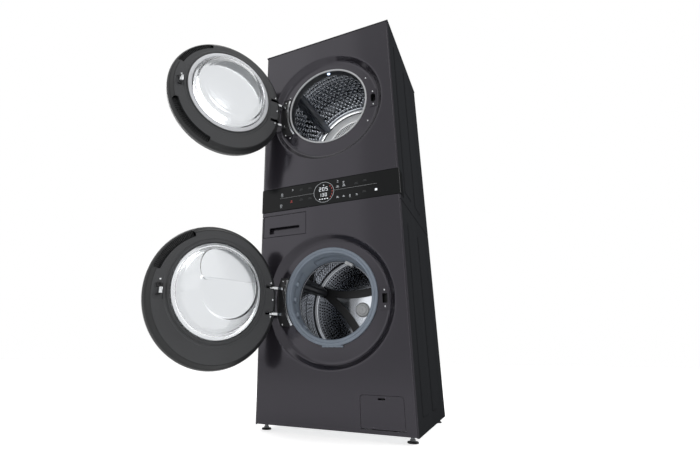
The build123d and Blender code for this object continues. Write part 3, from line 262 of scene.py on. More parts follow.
RECIPES = {
    # The second colour, for the forward-facing return, is the front's colour with the front's sheen painted in.
    "side_paint": (side_painted, (40, 41, 43), tone(70, 68, 73)),
    "front_paint": (painted, (38, 36, 41), 0.13, 0.46, VIOLET),
    "front_paint_plastic": (painted, (38, 36, 41), 0.15, 0.46, VIOLET),
    "zinc": (metal, (176, 178, 180), 0.42, ALONG_Z),
    "band_glass": (glossy, (24, 25, 26), 0.08),
    "black_plastic": (moulded, (26, 26, 28), 0.5),
    "board_green": (moulded, (28, 84, 52), 0.5, 300),
    "grey_plastic": (moulded, (178, 180, 182), 0.45),
    "lifter_grey": (moulded, (40, 42, 46), 0.34),
    "drum_steel": (metal, (146, 149, 154), 0.12, ALONG_X),
    "machine_steel": (metal, (150, 152, 155), 0.35, ALONG_X),
    "cast_aluminium": (metal, (168, 170, 172), 0.5, (1, 1, 1), 160),
    "cast_weight": (moulded, (128, 124, 118), 0.8, 220),
    "gasket_rubber": (rubbery, (134, 144, 157), 0.45),
    "black_rubber": (rubbery, (24, 24, 25), 0.6),
    # The shell's own dark grey, made darker than the liner's partly as painted shade on its rolled rim.
    "door_shell": (moulded, (40, 41, 42), 0.4, 900, 0.3),
    "door_liner": (moulded, (56, 57, 59), 0.45),
    "clear_glass": (glazed, (244, 245, 246), 0.03, 1.22),
    "bright_metal": (metal, (206, 208, 210), 0.2, ALONG_Z),
    "pump_plastic": (moulded, (120, 122, 125), 0.5),
    "inlet_plastic": (moulded, (206, 208, 210), 0.4),
    "display_white": (lit, (226, 230, 234), 0.9),
    "display_dim": (lit, (196, 200, 204), 0.55),
    "display_red": (lit, (190, 70, 64), 0.5),
    "faint_print": (moulded, (54, 56, 58), 0.5),
    "bowl_glass": (glazed, (235, 237, 239), 0.16, 1.42),
    "bowl_rim": (moulded, (226, 228, 232), 0.3),
    # Near-black for holes and a shallow groove: painted shade for the dark seen through them.
    "dark_gap": (moulded, (12, 12, 13), 0.6, 900, 0.05),
    "lamp_light": (lit, (206, 224, 255), 2),
    "matt_black": (moulded, (30, 31, 32), 0.7, 900, 0),
    "wash_steel": (metal, (164, 167, 172), 0.15, ALONG_X),
    "pale_rubber": (rubbery, (138, 148, 160), 0.5),
    "dry_lifter": (moulded, (60, 65, 73), 0.34),
}
finishes = {}
for name, (maker, colour, *rest) in RECIPES.items():
    finishes[name] = maker(name, tone(*colour), *rest)

for part in frame["record"]["subparts"]:
    node = frame["nodes"][part["node"]]
    node.data.materials.clear()
    node.data.materials.append(finishes[part["material_slot"]].material)
frame["nodes"]["control_housing"].data.materials[0] = finishes["matt_black"].material


# Modelling steps


def choose(piece):
    """Select one object alone and make it the active one."""
    if bpy.context.object and bpy.context.object.mode != "OBJECT":
        bpy.ops.object.mode_set(mode="OBJECT")
    bpy.ops.object.select_all(action="DESELECT")
    piece.select_set(True)
    bpy.context.view_layer.objects.active = piece
    return piece


def fix_placing(piece):
    """Move an object's place, turn and scale into its mesh."""
    choose(piece)
    bpy.ops.object.transform_apply(location=True, rotation=True, scale=True)
    return piece


def begin(name):
    """The object that an operator has just added, renamed and placed."""
    piece = bpy.context.object
    piece.name = name
    return fix_placing(piece)


def pick(piece, kind, test):
    """Open a piece for editing with only those vertices, edges or faces selected that pass a test."""
    choose(piece)
    bpy.ops.object.mode_set(mode="EDIT")
    bpy.ops.mesh.select_mode(type=kind)
    bpy.ops.mesh.select_all(action="DESELECT")
    bpy.ops.object.mode_set(mode="OBJECT")
    mesh = piece.data
    groups = {"VERT": [], "EDGE": mesh.edges, "FACE": mesh.polygons}[kind]
    for vertex in mesh.vertices:
        vertex.select = kind == "VERT" and test(vertex.co / MM)
    for group in groups:
        corners = [mesh.vertices[index].co for index in group.vertices]
        group.select = test(sum(corners, Vector()) / len(corners) / MM)
    bpy.ops.object.mode_set(mode="EDIT")


def face_outwards():
    """Turn all faces of the piece being edited outwards."""
    bpy.ops.mesh.select_all(action="SELECT")
    bpy.ops.mesh.normals_make_consistent(inside=False)


def close(piece, angle=38):
    """Leave editing and shade the piece smooth up to an angle."""
    choose(piece)
    bpy.ops.object.shade_smooth_by_angle(angle=math.radians(angle))
    return piece


def apply_modifier(piece, kind, **settings):
    choose(piece)
    modifier = piece.modifiers.new(kind.lower(), kind)
    for key, value in settings.items():
        setattr(modifier, key, value)
    bpy.ops.object.modifier_apply(modifier=modifier.name)


def flatten(piece):
    """Keep the broad flat faces flat next to their rounded edges."""
    apply_modifier(piece, "WEIGHTED_NORMAL", keep_sharp=True, weight=100)
    return piece


def cut(piece, *tools):
    """Take other solids out of a piece and drop them."""
    for tool in tools:
        apply_modifier(piece, "BOOLEAN", operation="DIFFERENCE", solver="EXACT", object=tool)
        bpy.data.objects.remove(tool)
    return piece


def join(name, *pieces):
    """Make one object of several."""
    choose(pieces[0])
    for piece in pieces:
        piece.select_set(True)
    bpy.ops.object.join()
    pieces[0].name = name
    return pieces[0]


def fillets(corners, closed=True):
    """Outline points through (along, radius, rounding) corners, with an arc at each rounded one."""
    points = []
    count = len(corners)
    for index, (along, radius, *rounding) in enumerate(corners):
        here = Vector((along, radius))
        if not rounding:
            points.append(here)
            continue
        before = Vector(corners[index - 1][:2]) - here
        after = Vector(corners[(index + 1) % count][:2]) - here
        before.normalize()
        after.normalize()
        half = before.angle(after) / 2
        reach = rounding[0] / math.tan(half)
        middle = here + (before + after).normalized() * (rounding[0] / math.sin(half))
        first = here + before * reach - middle
        last = here + after * reach - middle
        sweep = first.angle_signed(last)
        steps = max(2, round(abs(math.degrees(sweep)) / 12))
        for step in range(steps + 1):
            turned = first.copy()
            turned.rotate(Matrix.Rotation(-sweep * step / steps, 2))
            points.append(middle + turned)
    return points + points[:1] if closed else points


def traced(name, outline):
    """A chain of edges through the points of an outline, open for editing with all of it selected."""
    bpy.ops.object.select_all(action="DESELECT")
    bpy.ops.mesh.primitive_plane_add(size=MM)
    piece = begin(name)
    bpy.ops.object.mode_set(mode="EDIT")
    bpy.ops.mesh.select_mode(type="VERT")
    bpy.ops.mesh.select_all(action="SELECT")
    bpy.ops.mesh.merge(type="CENTER")
    bpy.ops.mesh.select_all(action="SELECT")
    bpy.ops.transform.translate(value=outline[0])
    for here, there in zip(outline, outline[1:]):
        bpy.ops.mesh.extrude_vertices_move(TRANSFORM_OT_translate={"value": there - here})
    bpy.ops.mesh.select_all(action="SELECT")
    return piece


def lathe(name, corners, height=0, x=0, y=0, up=False, steps=ROUND, start=0, sweep=360, closed=True):
    """Spin an outline of (along, radius, rounding) about an axis: front to back, or upright."""
    axis = Vector((0, 0, 1)) if up else Vector((0, 1, 0))
    turn = Matrix.Rotation(-math.radians(start), 3, axis)
    base = Vector((x, y, height)) * MM
    shift = 0 if up else FRONT
    outline = []
    for along, radius in fillets(corners, closed):
        outline.append(base + turn @ (axis * (along + shift) + Vector((radius, 0, 0))) * MM)
    piece = traced(name, outline)
    if sweep != 360:
        bpy.ops.mesh.remove_doubles(threshold=WELD)
        bpy.ops.mesh.edge_face_add()
    bpy.ops.mesh.spin(steps=steps, angle=math.radians(sweep), center=base, axis=axis)
    bpy.ops.mesh.select_all(action="SELECT")
    bpy.ops.mesh.remove_doubles(threshold=WELD)
    face_outwards()
    return close(piece)


def prism(name, points, start, end, rounding=0, flat="front", steps=2):
    """Extrude an outline of (x, height), or of (x, depth) when it lies flat, with rounded edges."""
    if flat == "front":
        outline = [spot(x, start, height) for x, height in points]
        push = Vector((0, end - start, 0)) * MM
    else:
        outline = [spot(x, depth, start) for x, depth in points]
        push = Vector((0, 0, end - start)) * MM
    piece = traced(name, outline + outline[:1])
    bpy.ops.mesh.remove_doubles(threshold=WELD)
    bpy.ops.mesh.select_all(action="SELECT")
    bpy.ops.mesh.edge_face_add()
    bpy.ops.mesh.extrude_region_move(TRANSFORM_OT_translate={"value": push})
    face_outwards()
    if rounding:
        bpy.ops.mesh.bevel(offset=rounding * MM, segments=steps, affect="EDGES")
    return close(piece)


def upright(name, radius, x, depth, low, high, rounding):
    """An upright rod with rounded ends."""
    corners = [(low, 0), (low, radius, rounding), (high, radius, rounding), (high, 0)]
    return lathe(name, corners, x=x, y=FRONT + depth, up=True, steps=32, closed=False)


def block(name, low, high, rounding=0, steps=3):
    """A box between two corners with all its edges rounded."""
    first, last = spot(*low), spot(*high)
    bpy.ops.object.select_all(action="DESELECT")
    bpy.ops.mesh.primitive_cube_add(size=1, location=(first + last) / 2, scale=last - first)
    piece = begin(name)
    bpy.ops.object.mode_set(mode="EDIT")
    bpy.ops.mesh.select_all(action="SELECT")
    if rounding:
        bpy.ops.mesh.bevel(offset=rounding * MM, segments=steps, affect="EDGES")
    return close(piece)


def rounded_edges(piece, test, rounding, steps=4):
    """Round the edges whose middle passes a test."""
    pick(piece, "EDGE", test)
    bpy.ops.mesh.bevel(offset=rounding * MM, segments=steps, affect="EDGES")
    return close(piece)


def end_corners(end, left, right):
    """A test for the edges from front to back at the upper or lower corners of a plate."""
    return lambda at: abs(at.z - end) < NEAR and not left + NEAR < at.x < right - NEAR


def rounded_plate(name, low, high, corner):
    """A box between two corners whose four edges from front to back are rounded."""

    def at_corner(at):
        aside = min(abs(at.x - low[0]), abs(at.x - high[0]))
        return aside < NEAR and min(abs(at.z - low[2]), abs(at.z - high[2])) < NEAR

    return rounded_edges(block(name, low, high), at_corner, corner)


def cylinder(name, sides, radius, length, place, turn):
    """A cylinder round a place."""
    bpy.ops.object.select_all(action="DESELECT")
    sizes = {"vertices": sides, "radius": radius * MM, "depth": length * MM}
    bpy.ops.mesh.primitive_cylinder_add(**sizes, location=place, rotation=turn)
    return begin(name)


def drum(name, radius, start, end, height, x=0):
    """A smooth cylinder along the front-to-back axis."""
    return close(cylinder(name, ROUND, radius, end - start, spot(x, (start + end) / 2, height), FACING))


def around(piece, count, axis_height, sweep=360):
    """Repeat a piece about a front-to-back axis, anticlockwise as seen from the front."""
    choose(piece)
    bpy.ops.object.mode_set(mode="EDIT")
    bpy.ops.mesh.select_all(action="SELECT")
    share = (count - 1) / count if sweep == 360 else 1
    bpy.ops.mesh.spin(
        steps=count - 1,
        dupli=True,
        angle=math.radians(sweep * share),
        center=spot(0, 0, axis_height),
        axis=(0, 1, 0),
    )
    return close(piece)


def turned(piece, degrees, axis_height):
    """Turn a piece about the front-to-back axis at a height, anticlockwise as seen from the front."""
    centre = Matrix.Translation(spot(0, 0, axis_height))
    piece.matrix_world = centre @ Matrix.Rotation(-math.radians(degrees), 4, "Y") @ centre.inverted()
    return fix_placing(piece)


def copy_at(piece, places):
    """Copies of a piece modelled at the frame's origin, one at each place, joined into one."""
    copies = []
    for place in places:
        choose(piece)
        bpy.ops.object.duplicate()
        copy = bpy.context.object
        copy.location = place
        copies.append(fix_placing(copy))
    name = piece.name
    bpy.data.objects.remove(piece)
    return join(name, *copies)


def swung(piece, kind):
    """Turn a piece of a shut door about its hinge to the open rest pose."""
    joint = joints[f"{kind}_door_swing"]
    hinge = Matrix.Translation(joint["pos_m"])
    turn = Matrix.Rotation(math.radians(joint["range_deg"][0]), 4, "Z")
    piece.matrix_world = hinge @ turn @ hinge.inverted()
    return fix_placing(piece)


def dress(piece, slot, nodes, finish):
    """Give a finished piece the material of its finish, or else of its slot, and hide the CAD nodes it replaces.
    """
    piece.data.materials.clear()
    piece.data.materials.append(finishes[finish or slot].material)
    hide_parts(*nodes)


def settle(piece, body, slot, *nodes, finish=None):
    """Fix a finished piece to its body and dress it."""
    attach(piece, body)
    dress(piece, slot, nodes, finish)


def bridge(piece, slot, start, end, *nodes, finish=None):
    """Dress a finished piece that spans the cabinet and the tub, and bake its placing into its mesh."""
    dress(piece, slot, nodes, finish)
    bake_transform(piece)


def screw(name, radius, backwards=False):
    """A pan-head screw at the frame's origin, facing forwards or backwards, with a cross recess."""
    head = lathe(
        name,
        [(300, 0), (300, radius), (299, radius, 0.5), (297.6, radius * 0.6, 1.5), (297.3, 0)],
        steps=20,
        closed=False,
    )
    for wide, tall in ((radius * 1.2, 0.9), (0.9, radius * 1.2)):
        bar = block("bar", (-wide / 2, 296, -tall / 2), (wide / 2, 298.6, tall / 2))
        cut(head, bar)
    if backwards:
        head.rotation_euler.z = math.pi
        fix_placing(head)
    return close(head)


# Front panels

DISH = [
    (0, DISH_RIM), (0, 252, 9), (DISH_DEPTH - 0.5, 232, 20), (DISH_DEPTH, 150),
    (DISH_DEPTH + PANEL_WALL, 150), (DISH_DEPTH + 1, 233.2, 21), (PANEL_WALL, 253.2, 10),
    (PANEL_WALL, DISH_RIM),
]
SIDE_ROUND = 5
END_ROUND = 1.5
WASHER_SLOT = (18, 34)
DRYER_SLOT = (20, 40)
COVER_LEFT = 110
COVER_RIGHT = 259
COVER_TOP = 140


def lock_slot(dish, size, start, end, corner):
    """A tool that cuts the slot for a door's catch."""
    wide, tall = (side / 2 for side in size)
    low = (LOCK_X - wide, start, dish - LOCK_DROP - tall)
    return rounded_plate("slot", low, (LOCK_X + wide, end, dish - LOCK_DROP + tall), corner)


def front_panel(name, node, bottom, top, dish, mouth_radius, slot, openings):
    """A folded front sheet with its round dish, the mouth in the dish and the other openings."""
    sheet = block(name, (-PANEL_HALF, 0, bottom), (PANEL_HALF, PANEL_DEPTH, top))
    front = FRONT + NEAR
    rounded_edges(sheet, lambda at: at.y < front and abs(at.x) > PANEL_HALF - NEAR, SIDE_ROUND, 6)
    rounded_edges(sheet, lambda at: at.y < front and not bottom + NEAR < at.z < top - NEAR, END_ROUND, 3)
    hollow = block(
        "hollow",
        (PANEL_WALL - PANEL_HALF, PANEL_WALL, bottom + PANEL_WALL),
        (PANEL_HALF - PANEL_WALL, PANEL_DEPTH + 5, top - PANEL_WALL),
    )
    cut(sheet, hollow, drum("hole", DISH_RIM, -5, 30, dish), *openings)
    mouth = drum("mouth", mouth_radius, 0, 60, dish + MOUTH_RISE)
    bowl = cut(lathe("dish", DISH, dish), mouth, slot)
    settle(flatten(close(join(name, sheet, bowl))), "cabinet", "front_paint", node)


drawer_hole = block("drawer_hole", (-288.2, -5, 729.8), (-89.8, 40, 825.2))
cover_hole = block("cover_hole", (COVER_LEFT, -5, 35), (COVER_RIGHT, 40, COVER_TOP))
rounded_edges(cover_hole, end_corners(COVER_TOP, COVER_LEFT, COVER_RIGHT), 10.8)
slot = lock_slot(WASHER_DISH, WASHER_SLOT, 0, 60, 1.5)
front_panel("washer_front", "washer_front_panel", 22, 842, WASHER_DISH, 178, slot, [drawer_hole, cover_hole])
slot = lock_slot(DRYER_DISH, DRYER_SLOT, 0, 60, 9)
front_panel("dryer_front", "dryer_front_panel", 948.5, 1648, DRYER_DISH, 181, slot, [])

# Screws on the front

screw_head = screw("front_screw_heads", 3.6)
screw_spots = []
for dish, spread in ((WASHER_DISH, 29.5), (DRYER_DISH, 31)):
    for side in (-1, 1):
        screw_spots.append(spot(LOCK_X, LOCK_FACE, dish - LOCK_DROP + side * spread))
for degrees in (30, 150, 210, 330):
    across, height = polar(210, degrees, DRYER_DISH)
    screw_spots.append(spot(across, DISH_DEPTH, height))
settle(copy_at(screw_head, screw_spots), "cabinet", "bright_metal", "front_screws")

# Inset plates around the lock slots

PLATE_LEFT = LOCK_X - 19
PLATE_RIGHT = LOCK_X + 17
PLATE_HALF = 42
PLATE_BACK = 27.2

for name, dish, size, corner in (
    ("washer_lock_plate", WASHER_DISH, WASHER_SLOT, 2),
    ("dryer_lock_plate", DRYER_DISH, DRYER_SLOT, 9),
):
    lock = dish - LOCK_DROP
    low = (PLATE_LEFT, LOCK_FACE, lock - PLATE_HALF)
    plate = rounded_plate(name, low, (PLATE_RIGHT, PLATE_BACK, lock + PLATE_HALF), 4)
    rounded_edges(plate, lambda at: at.y < FRONT + LOCK_FACE + 0.1, 0.9, 2)
    cut(plate, lock_slot(dish, size, 20, 30, corner))
    settle(flatten(close(plate)), "cabinet", "front_paint_plastic")

# Doors

DOOR_SHELL = [
    (8.4, 235), (11, 235, 0.8), (10.6, 239, 3), (0, 248.5, 8), (-3.5, 254, 2.5), (-14, 258, 8),
    (-42, 253, 18), (-56, 228, 20), (-56, 184.5, 1.5), (-52, 183), (-52, 192), (-53, 227, 17),
    (-41, 250, 15), (-14, 254.8, 6), (-6, 251.5), (-2.6, 246.5), (7.6, 238),
]
DOOR_LINER = [(6.5, 236, 0.5), (12, 236, 0.9), (12, 150), (6.5, 150)]
DOOR_LIP = [
    (11.9, 198), (13.1, 195.5, 1), (13.1, 190, 1), (11, 188, 0.8), (11, 186.5, 0.6), (14.8, 184.5, 1.4),
    (14.8, 177, 2), (8.5, 172.6), (5.5, 172.6), (5.5, 180), (9.4, 183), (9.4, 198),
]
DOOR_GLAZING = [(-56.8, 0), (-55.4, 120), (-55, 182.6, 1), (-50.5, 182.6, 0.6), (-50.5, 120), (-52.2, 0)]
DOOR_CONE = [(5.4, 175), (-50, 181), (-50, 183), (5.4, 177)]
WASHER_BOWL = [
    (118, 0), (118, 96, 1.5), (115, 101, 2), (111, 109, 5), (44, 148, 20), (22, 158, 3), (19, 163, 1.5),
    (16, 164, 1.5), (15, 171.4, 1.2), (6, 172.2), (6, 0),
]
WASHER_BOWL_INSIDE = [(113, 0), (113, 101, 10), (42, 143, 18), (16, 155, 5), (5, 158), (5, 0)]
DRYER_BOWL = [
    (60, 0), (60, 118, 1.5), (57.5, 123, 2), (55, 129, 4), (42, 147, 3), (38, 154, 2), (24, 163, 8),
    (15, 168, 2), (15, 171.6, 1), (6, 172.2), (6, 0),
]
DRYER_BOWL_INSIDE = [(55, 0), (55, 119, 8), (41, 145, 8), (20, 159, 6), (5, 162), (5, 0)]
FACET = (118, 20, math.radians(33))
FACET_ROUND = 4
BOWL_WALL = 4
GRIP_IN = 225
GRIP_OUT = 248.6
GRIP_FLOOR = -9
GRIP_POCKET = [
    (8, GRIP_IN - 1.6), (GRIP_FLOOR, GRIP_IN - 1.6, 2), (GRIP_FLOOR, 250.2, 2), (-2, 250.2), (-2, 248.7),
    (GRIP_FLOOR + 1.6, 248.7, 1.5), (GRIP_FLOOR + 1.6, GRIP_IN, 1.5), (8, GRIP_IN),
]
HINGE_ARM_SHAPE = [
    (-214, 25), (-217, 5), (-225, -13), (-238, -16), (-244, -20), (-245, -26), (-240, -31.5), (-233, -32),
    (-221, -27), (-208, -10), (-201, 8), (-199, 25),
]
HINGE_STRIP = [(20.5, 189.8, 0.6), (20.5, 198, 0.6), (24.6, 198), (24.6, 189.8)]
HINGE_FACE = 23


def arm_slots(dish):
    """Tools that cut the two slots for the hinge arms."""
    slots = []
    for side in (-1, 1):
        middle = dish + side * HINGE_ARM
        slots.append(block("slot", (-270, -34, middle - 6.5), (-199, 16, middle + 6.5)))
    return slots


def grip_tools(dish, grips):
    """Tools that cut the openings of the finger grips."""
    section = [(-20, GRIP_IN), (-20, GRIP_OUT), (20, GRIP_OUT), (20, GRIP_IN)]
    tools = []
    for start, sweep in grips:
        tool = lathe("grip", section, dish, steps=40, start=start, sweep=sweep)
        for end in (start, start + sweep):
            corners = [Vector(polar(radius, end, dish)) for radius in (GRIP_IN, GRIP_OUT)]
            rounded_edges(
                tool, lambda at: min((Vector((at.x, at.z)) - corner).length for corner in corners) < NEAR, 8
            )
        tools.append(tool)
    return tools


def door_shell(name, dish, grips):
    """The rounded outer shell, rolled over onto the inner face, with finger grips and arm slots."""
    return cut(lathe(name, DOOR_SHELL, dish), *arm_slots(dish), *grip_tools(dish, grips))


def door_liner(name, dish, lock, reach, grips):
    """The flat inner ring with its raised lip round the glass and a sunk place for the catch."""
    liner = lathe(name, DOOR_LINER, dish)
    sunk = rounded_plate("sunk", (178, 8.6, lock - reach), (229, 20, lock + reach), 6)
    glass_hole = drum("glass_hole", 183, 0, 30, dish + MOUTH_RISE)
    cut(liner, glass_hole, sunk, *arm_slots(dish), *grip_tools(dish, grips))
    lip = lathe("lip", DOOR_LIP, dish + MOUTH_RISE)
    return flatten(close(join(name, liner, lip)))


def catch_guide(name, lock, reach):
    """The dark guide above the catch and the stop below it."""
    guide = block(name, (202, 8, lock + reach - 12), (219, 16, lock + reach + 3), 1.5)
    cut(guide, block("throat", (206, 6, lock + reach - 9), (214, 20, lock + reach)))
    stop = block("stop", (203.5, 8, lock - 14), (219.5, 13.5, lock - 10), 0.8, 2)
    return flatten(join(name, guide, stop))


def grip_pocket(name, dish, start, sweep, ribs):
    """The ribbed pocket for the fingers behind a liner's grip."""
    pocket = lathe(name, GRIP_POCKET, dish, steps=40, start=start, sweep=sweep)
    rib = block("rib", (224, GRIP_FLOOR + 1, dish - 1.3), (249.6, GRIP_FLOOR + 7, dish + 1.3), 0.8, 2)
    turned(rib, start + 1, dish)
    around(rib, ribs, dish, sweep - 2)
    return join(name, pocket, rib)


def cut_facet(shell, mouth, facet, inward):
    """Slice a bowl's shell along a slanting plane, set inward a little, and round the crease."""
    depth, rise, slope = facet
    normal = Vector((0, math.cos(slope), math.sin(slope)))
    pick(shell, "VERT", lambda at: True)
    bpy.ops.mesh.bisect(
        plane_co=spot(0, depth, mouth + rise) - normal * inward * MM,
        plane_no=normal,
        use_fill=True,
        clear_outer=True,
    )
    face_outwards()
    close(shell)
    height = mouth + rise
    floor = FRONT + depth - inward
    rounded_edges(shell, lambda at: abs(at.z - height) < NEAR and at.y > floor - NEAR, FACET_ROUND)


def glass_bowl(name, outer, inner, mouth, facet):
    """A thick glass bowl; a facet, if it has one, slants across its upper part."""
    shells = []
    for corners, inward in ((outer, 0), (inner, BOWL_WALL)):
        shell = lathe("shell", corners, mouth, closed=False)
        if facet:
            cut_facet(shell, mouth, facet, inward)
        shells.append(shell)
    bowl = cut(*shells)
    bowl.name = name
    return close(bowl, 30)


def door_cone(name, dish):
    """The pale cone from the bowl's seat to the outer window, whose axis lies lower."""
    cone = lathe(name, DOOR_CONE, dish + MOUTH_RISE)
    pick(cone, "VERT", lambda at: at.y < FRONT - 40)
    bpy.ops.transform.translate(value=(0, 0, -MOUTH_RISE * MM))
    return close(cone)


def hinge_plate(name, dish):
    """The bracket's plate on the dish floor, hollowed beside the mouth, with a raised border."""
    plate = rounded_plate(name, (-226, HINGE_FACE, dish - 95), (-170, 26.9, dish + 95), 5)
    pick(plate, "FACE", lambda at: at.y < FRONT + HINGE_FACE + 0.2)
    bpy.ops.mesh.inset(thickness=3 * MM)
    bpy.ops.transform.translate(value=(0, 1.2 * MM, 0))
    close(plate)
    return cut(plate, drum("relief", 189.5, 0, 60, dish + MOUTH_RISE))


def hinge_arms(name, dish):
    """Two bent arms with round knuckles at the hinge axis and screws through the plate."""
    parts = []
    for side in (-1, 1):
        middle = dish + side * HINGE_ARM
        parts.append(prism("arm", HINGE_ARM_SHAPE, middle - 5, middle + 5, 1.4, "flat"))
        parts.append(upright("knuckle", 7.2, -237, -24, middle - 6.2, middle + 6.2, 1.5))
    heads = copy_at(screw("heads", 3.4), [spot(-204, 24.2, dish + rise) for rise in (-88, 82)])
    return flatten(join(name, *parts, heads))


def hinge_strip(name, dish):
    """The bare metal strip along the plate's hollowed edge."""
    return flatten(lathe(name, HINGE_STRIP, dish + MOUTH_RISE, steps=40, start=159, sweep=55))


def door(kind, dish, grips, ribs, bowl_outer, bowl_inner, facet, reach):
    """All the pieces of one door and its hinge, swung open."""
    body = f"{kind}_door"
    lock = dish - LOCK_DROP

    def hang(piece, slot, *nodes, finish=None):
        settle(swung(piece, kind), body, slot, *nodes, finish=finish)

    hang(door_shell(f"{kind}_shell", dish, grips), "door_shell", f"{body}_frame")
    hang(door_liner(f"{kind}_liner", dish, lock, reach, grips), "door_liner", f"{body}_ring")
    hang(catch_guide(f"{kind}_catch_guide", lock, reach), "black_plastic")
    for number, (start, sweep) in enumerate(grips):
        hang(grip_pocket(f"{kind}_grip_{number}", dish, start, sweep, ribs), "door_shell")
    glazing = lathe(f"{kind}_glazing", DOOR_GLAZING, dish, closed=False)
    hang(glazing, "clear_glass", f"{body}_window")
    hang(door_cone(f"{kind}_cone", dish), "door_liner", finish="grey_plastic")
    bowl = glass_bowl(f"{kind}_bowl", bowl_outer, bowl_inner, dish + MOUTH_RISE, facet)
    hang(bowl, "clear_glass", f"{body}_bowl", finish="bowl_glass")
    edge = [polar(231, degrees, dish) for degrees in (164, 180, 196)]
    edge.append((209, lock + reach + 14))
    hang(copy_at(screw(f"{kind}_door_screws", 3.6, True), [spot(x, 12, z) for x, z in edge]), "bright_metal")
    settle(hinge_plate(f"{kind}_hinge_plate", dish), "cabinet", "black_plastic", f"{kind}_hinge_bracket")
    settle(hinge_arms(f"{kind}_hinge_arms", dish), "cabinet", "bright_metal")
    settle(hinge_strip(f"{kind}_hinge_strip", dish), "cabinet", "bright_metal")


WASHER_LOCK = WASHER_DISH - LOCK_DROP
DRYER_LOCK = DRYER_DISH - LOCK_DROP
door("washer", WASHER_DISH, [(18, 47)], 30, WASHER_BOWL, WASHER_BOWL_INSIDE, FACET, 26)
door("dryer", DRYER_DISH, [(-73, 54), (23, 45)], 24, DRYER_BOWL, DRYER_BOWL_INSIDE, None, 20)

RIM = [(14.9, 182), (18, 182, 1.5), (20.5, 176, 4), (20.5, 167, 1.5), (14.9, 165)]
rim = lathe("dryer_bowl_rim", RIM, DRYER_MOUTH)
settle(swung(rim, "dryer"), "dryer_door", "clear_glass", finish="bowl_rim")

HOOK_SHAPE = [(206, 3), (206, 42), (208, 44), (215, 44), (217.6, 38), (217, 34), (214, 32), (214, 3)]
hook = prism("washer_hook", HOOK_SHAPE, WASHER_LOCK - 10, WASHER_LOCK + 10, 1.2, "flat")
settle(swung(hook, "washer"), "washer_hook", "bright_metal", "washer_door_hook")
STRIKE_SHAPE = [(205, 6), (205, 36), (207, 38), (213, 38), (215, 36), (215, 6)]
strike = prism("dryer_strike", STRIKE_SHAPE, DRYER_LOCK - 12, DRYER_LOCK + 12, 1.4, "flat")
cut(strike, block("eye", (200, 24, DRYER_LOCK - 6), (220, 32, DRYER_LOCK + 6)))
settle(swung(strike, "dryer"), "dryer_door", "bright_metal", "dryer_door_strike")

# Washer mouth and drum

GASKET = [
    (26.8, 186), (18.6, 186, 3.5), (17.4, 176, 3.5), (21, 174, 1), (18.8, 172, 1.5), (19.6, 165, 3),
    (29, 161.5, 2), (32, 165, 2), (44, 163, 4), (58, 167, 5), (72, 160.5, 4), (87, 158, 1), (87, 160.5, 1),
    (74, 163.4, 4), (59, 170.6, 6), (46, 168, 4), (38, 175, 3), (28.6, 177.5), (26.8, 177.5),
]
GASKET_PAD = [(28, 166), (28, 162, 1.5), (48, 159.5, 2), (76, 155, 2), (76, 166)]
WASHER_WALL = 237.8
WASHER_REAR = 437.6


def sagged(piece):
    """Lead a part of the gasket down from the mouth's axis to the lower axis of the drum."""
    for place in (33, 42, 56, 66, 80):
        pick(piece, "VERT", lambda at: at.y > FRONT + place)
        bpy.ops.transform.translate(value=(0, 0, -3 * MM))
    return close(piece)


gasket = lathe("gasket", GASKET, WASHER_MOUTH)
pad = lathe("pad", GASKET_PAD, WASHER_MOUTH, steps=20, start=118, sweep=22)
studs = block("stud", (153, 42, WASHER_MOUTH - 9), (170, 62, WASHER_MOUTH + 9), 5, 4)
around(turned(studs, 158, WASHER_MOUTH), 4, WASHER_MOUTH, 66)
tab = block("tab", (-34, 19.5, 292.5), (48, 26.5, 299), 1.5)
tab_lugs = block("lug", (-33, 17.8, 292), (-25, 26, 298), 1.4)
lugs = [spot(shift, 300, 0) for shift in (0, 18, 36, 54, 72)]
gasket = sagged(join("gasket", gasket, tab, copy_at(tab_lugs, lugs)))
fold = (spot(0, 36, WASHER_MOUTH), spot(0, 62, WASHER_MOUTH))
bridge(gasket, "gasket_rubber", *fold, "door_gasket")
bridge(sagged(join("gasket_pad", pad, studs)), "gasket_rubber", *fold, finish="pale_rubber")
# A white spray nozzle at the top of the mouth; its white also serves as a painted highlight on the gasket there.
nozzle_and_highlight = block("wash_nozzle", (134, 66, WASHER_MOUTH - 17), (148, 84, WASHER_MOUTH + 17), 4, 4)
cut(nozzle_and_highlight, block("spout", (131, 70, WASHER_MOUTH - 10), (139, 80, WASHER_MOUTH + 10), 2))
settle(flatten(turned(nozzle_and_highlight, 63, WASHER_MOUTH)), "tub", "inlet_plastic")


def ribbed_wall(radius, ribs, height):
    """Outline corners along a drum's wall, from the rear forwards, with raised ribs round it."""
    corners = []
    for place in sorted(ribs, reverse=True):
        corners += [(place + 5, radius), (place + 2, radius - height, 1.2)]
        corners += [(place - 2, radius - height, 1.2), (place - 5, radius)]
    return corners


WASHER_SHELL = [
    (94, 158.5), (92, 160, 1), (92, 229, 7), (97, 240, 5), (430, 240, 8), (440, 228, 7), (440, 0),
    (WASHER_REAR, 0), (WASHER_REAR, 226, 8), (428, WASHER_WALL, 8),
    *ribbed_wall(WASHER_WALL, (225, 243, 261, 330), 2.6),
    (103, WASHER_WALL, 6), (95, 228, 5), (94.4, 162, 0.5),
]
shell = lathe("wash_drum", WASHER_SHELL, WASHER_AXIS, closed=False)
DRUM_LIP = [(91, 160, 1), (90.6, 157, 1), (95, 155.4, 1.4), (97, 157.6, 0.8), (95, 161.5)]
lip = lathe("lip", DRUM_LIP, WASHER_AXIS)
settle(flatten(join("wash_drum", shell, lip)), "washer_drum", "drum_steel", "drum_shell", finish="wash_steel")

HOLED_WALL = 230
PLUG = 1
HOLE = 3.8
HOLE_PITCH = 13
GRILLE_PITCH = 10
WALL_HOLES = 114


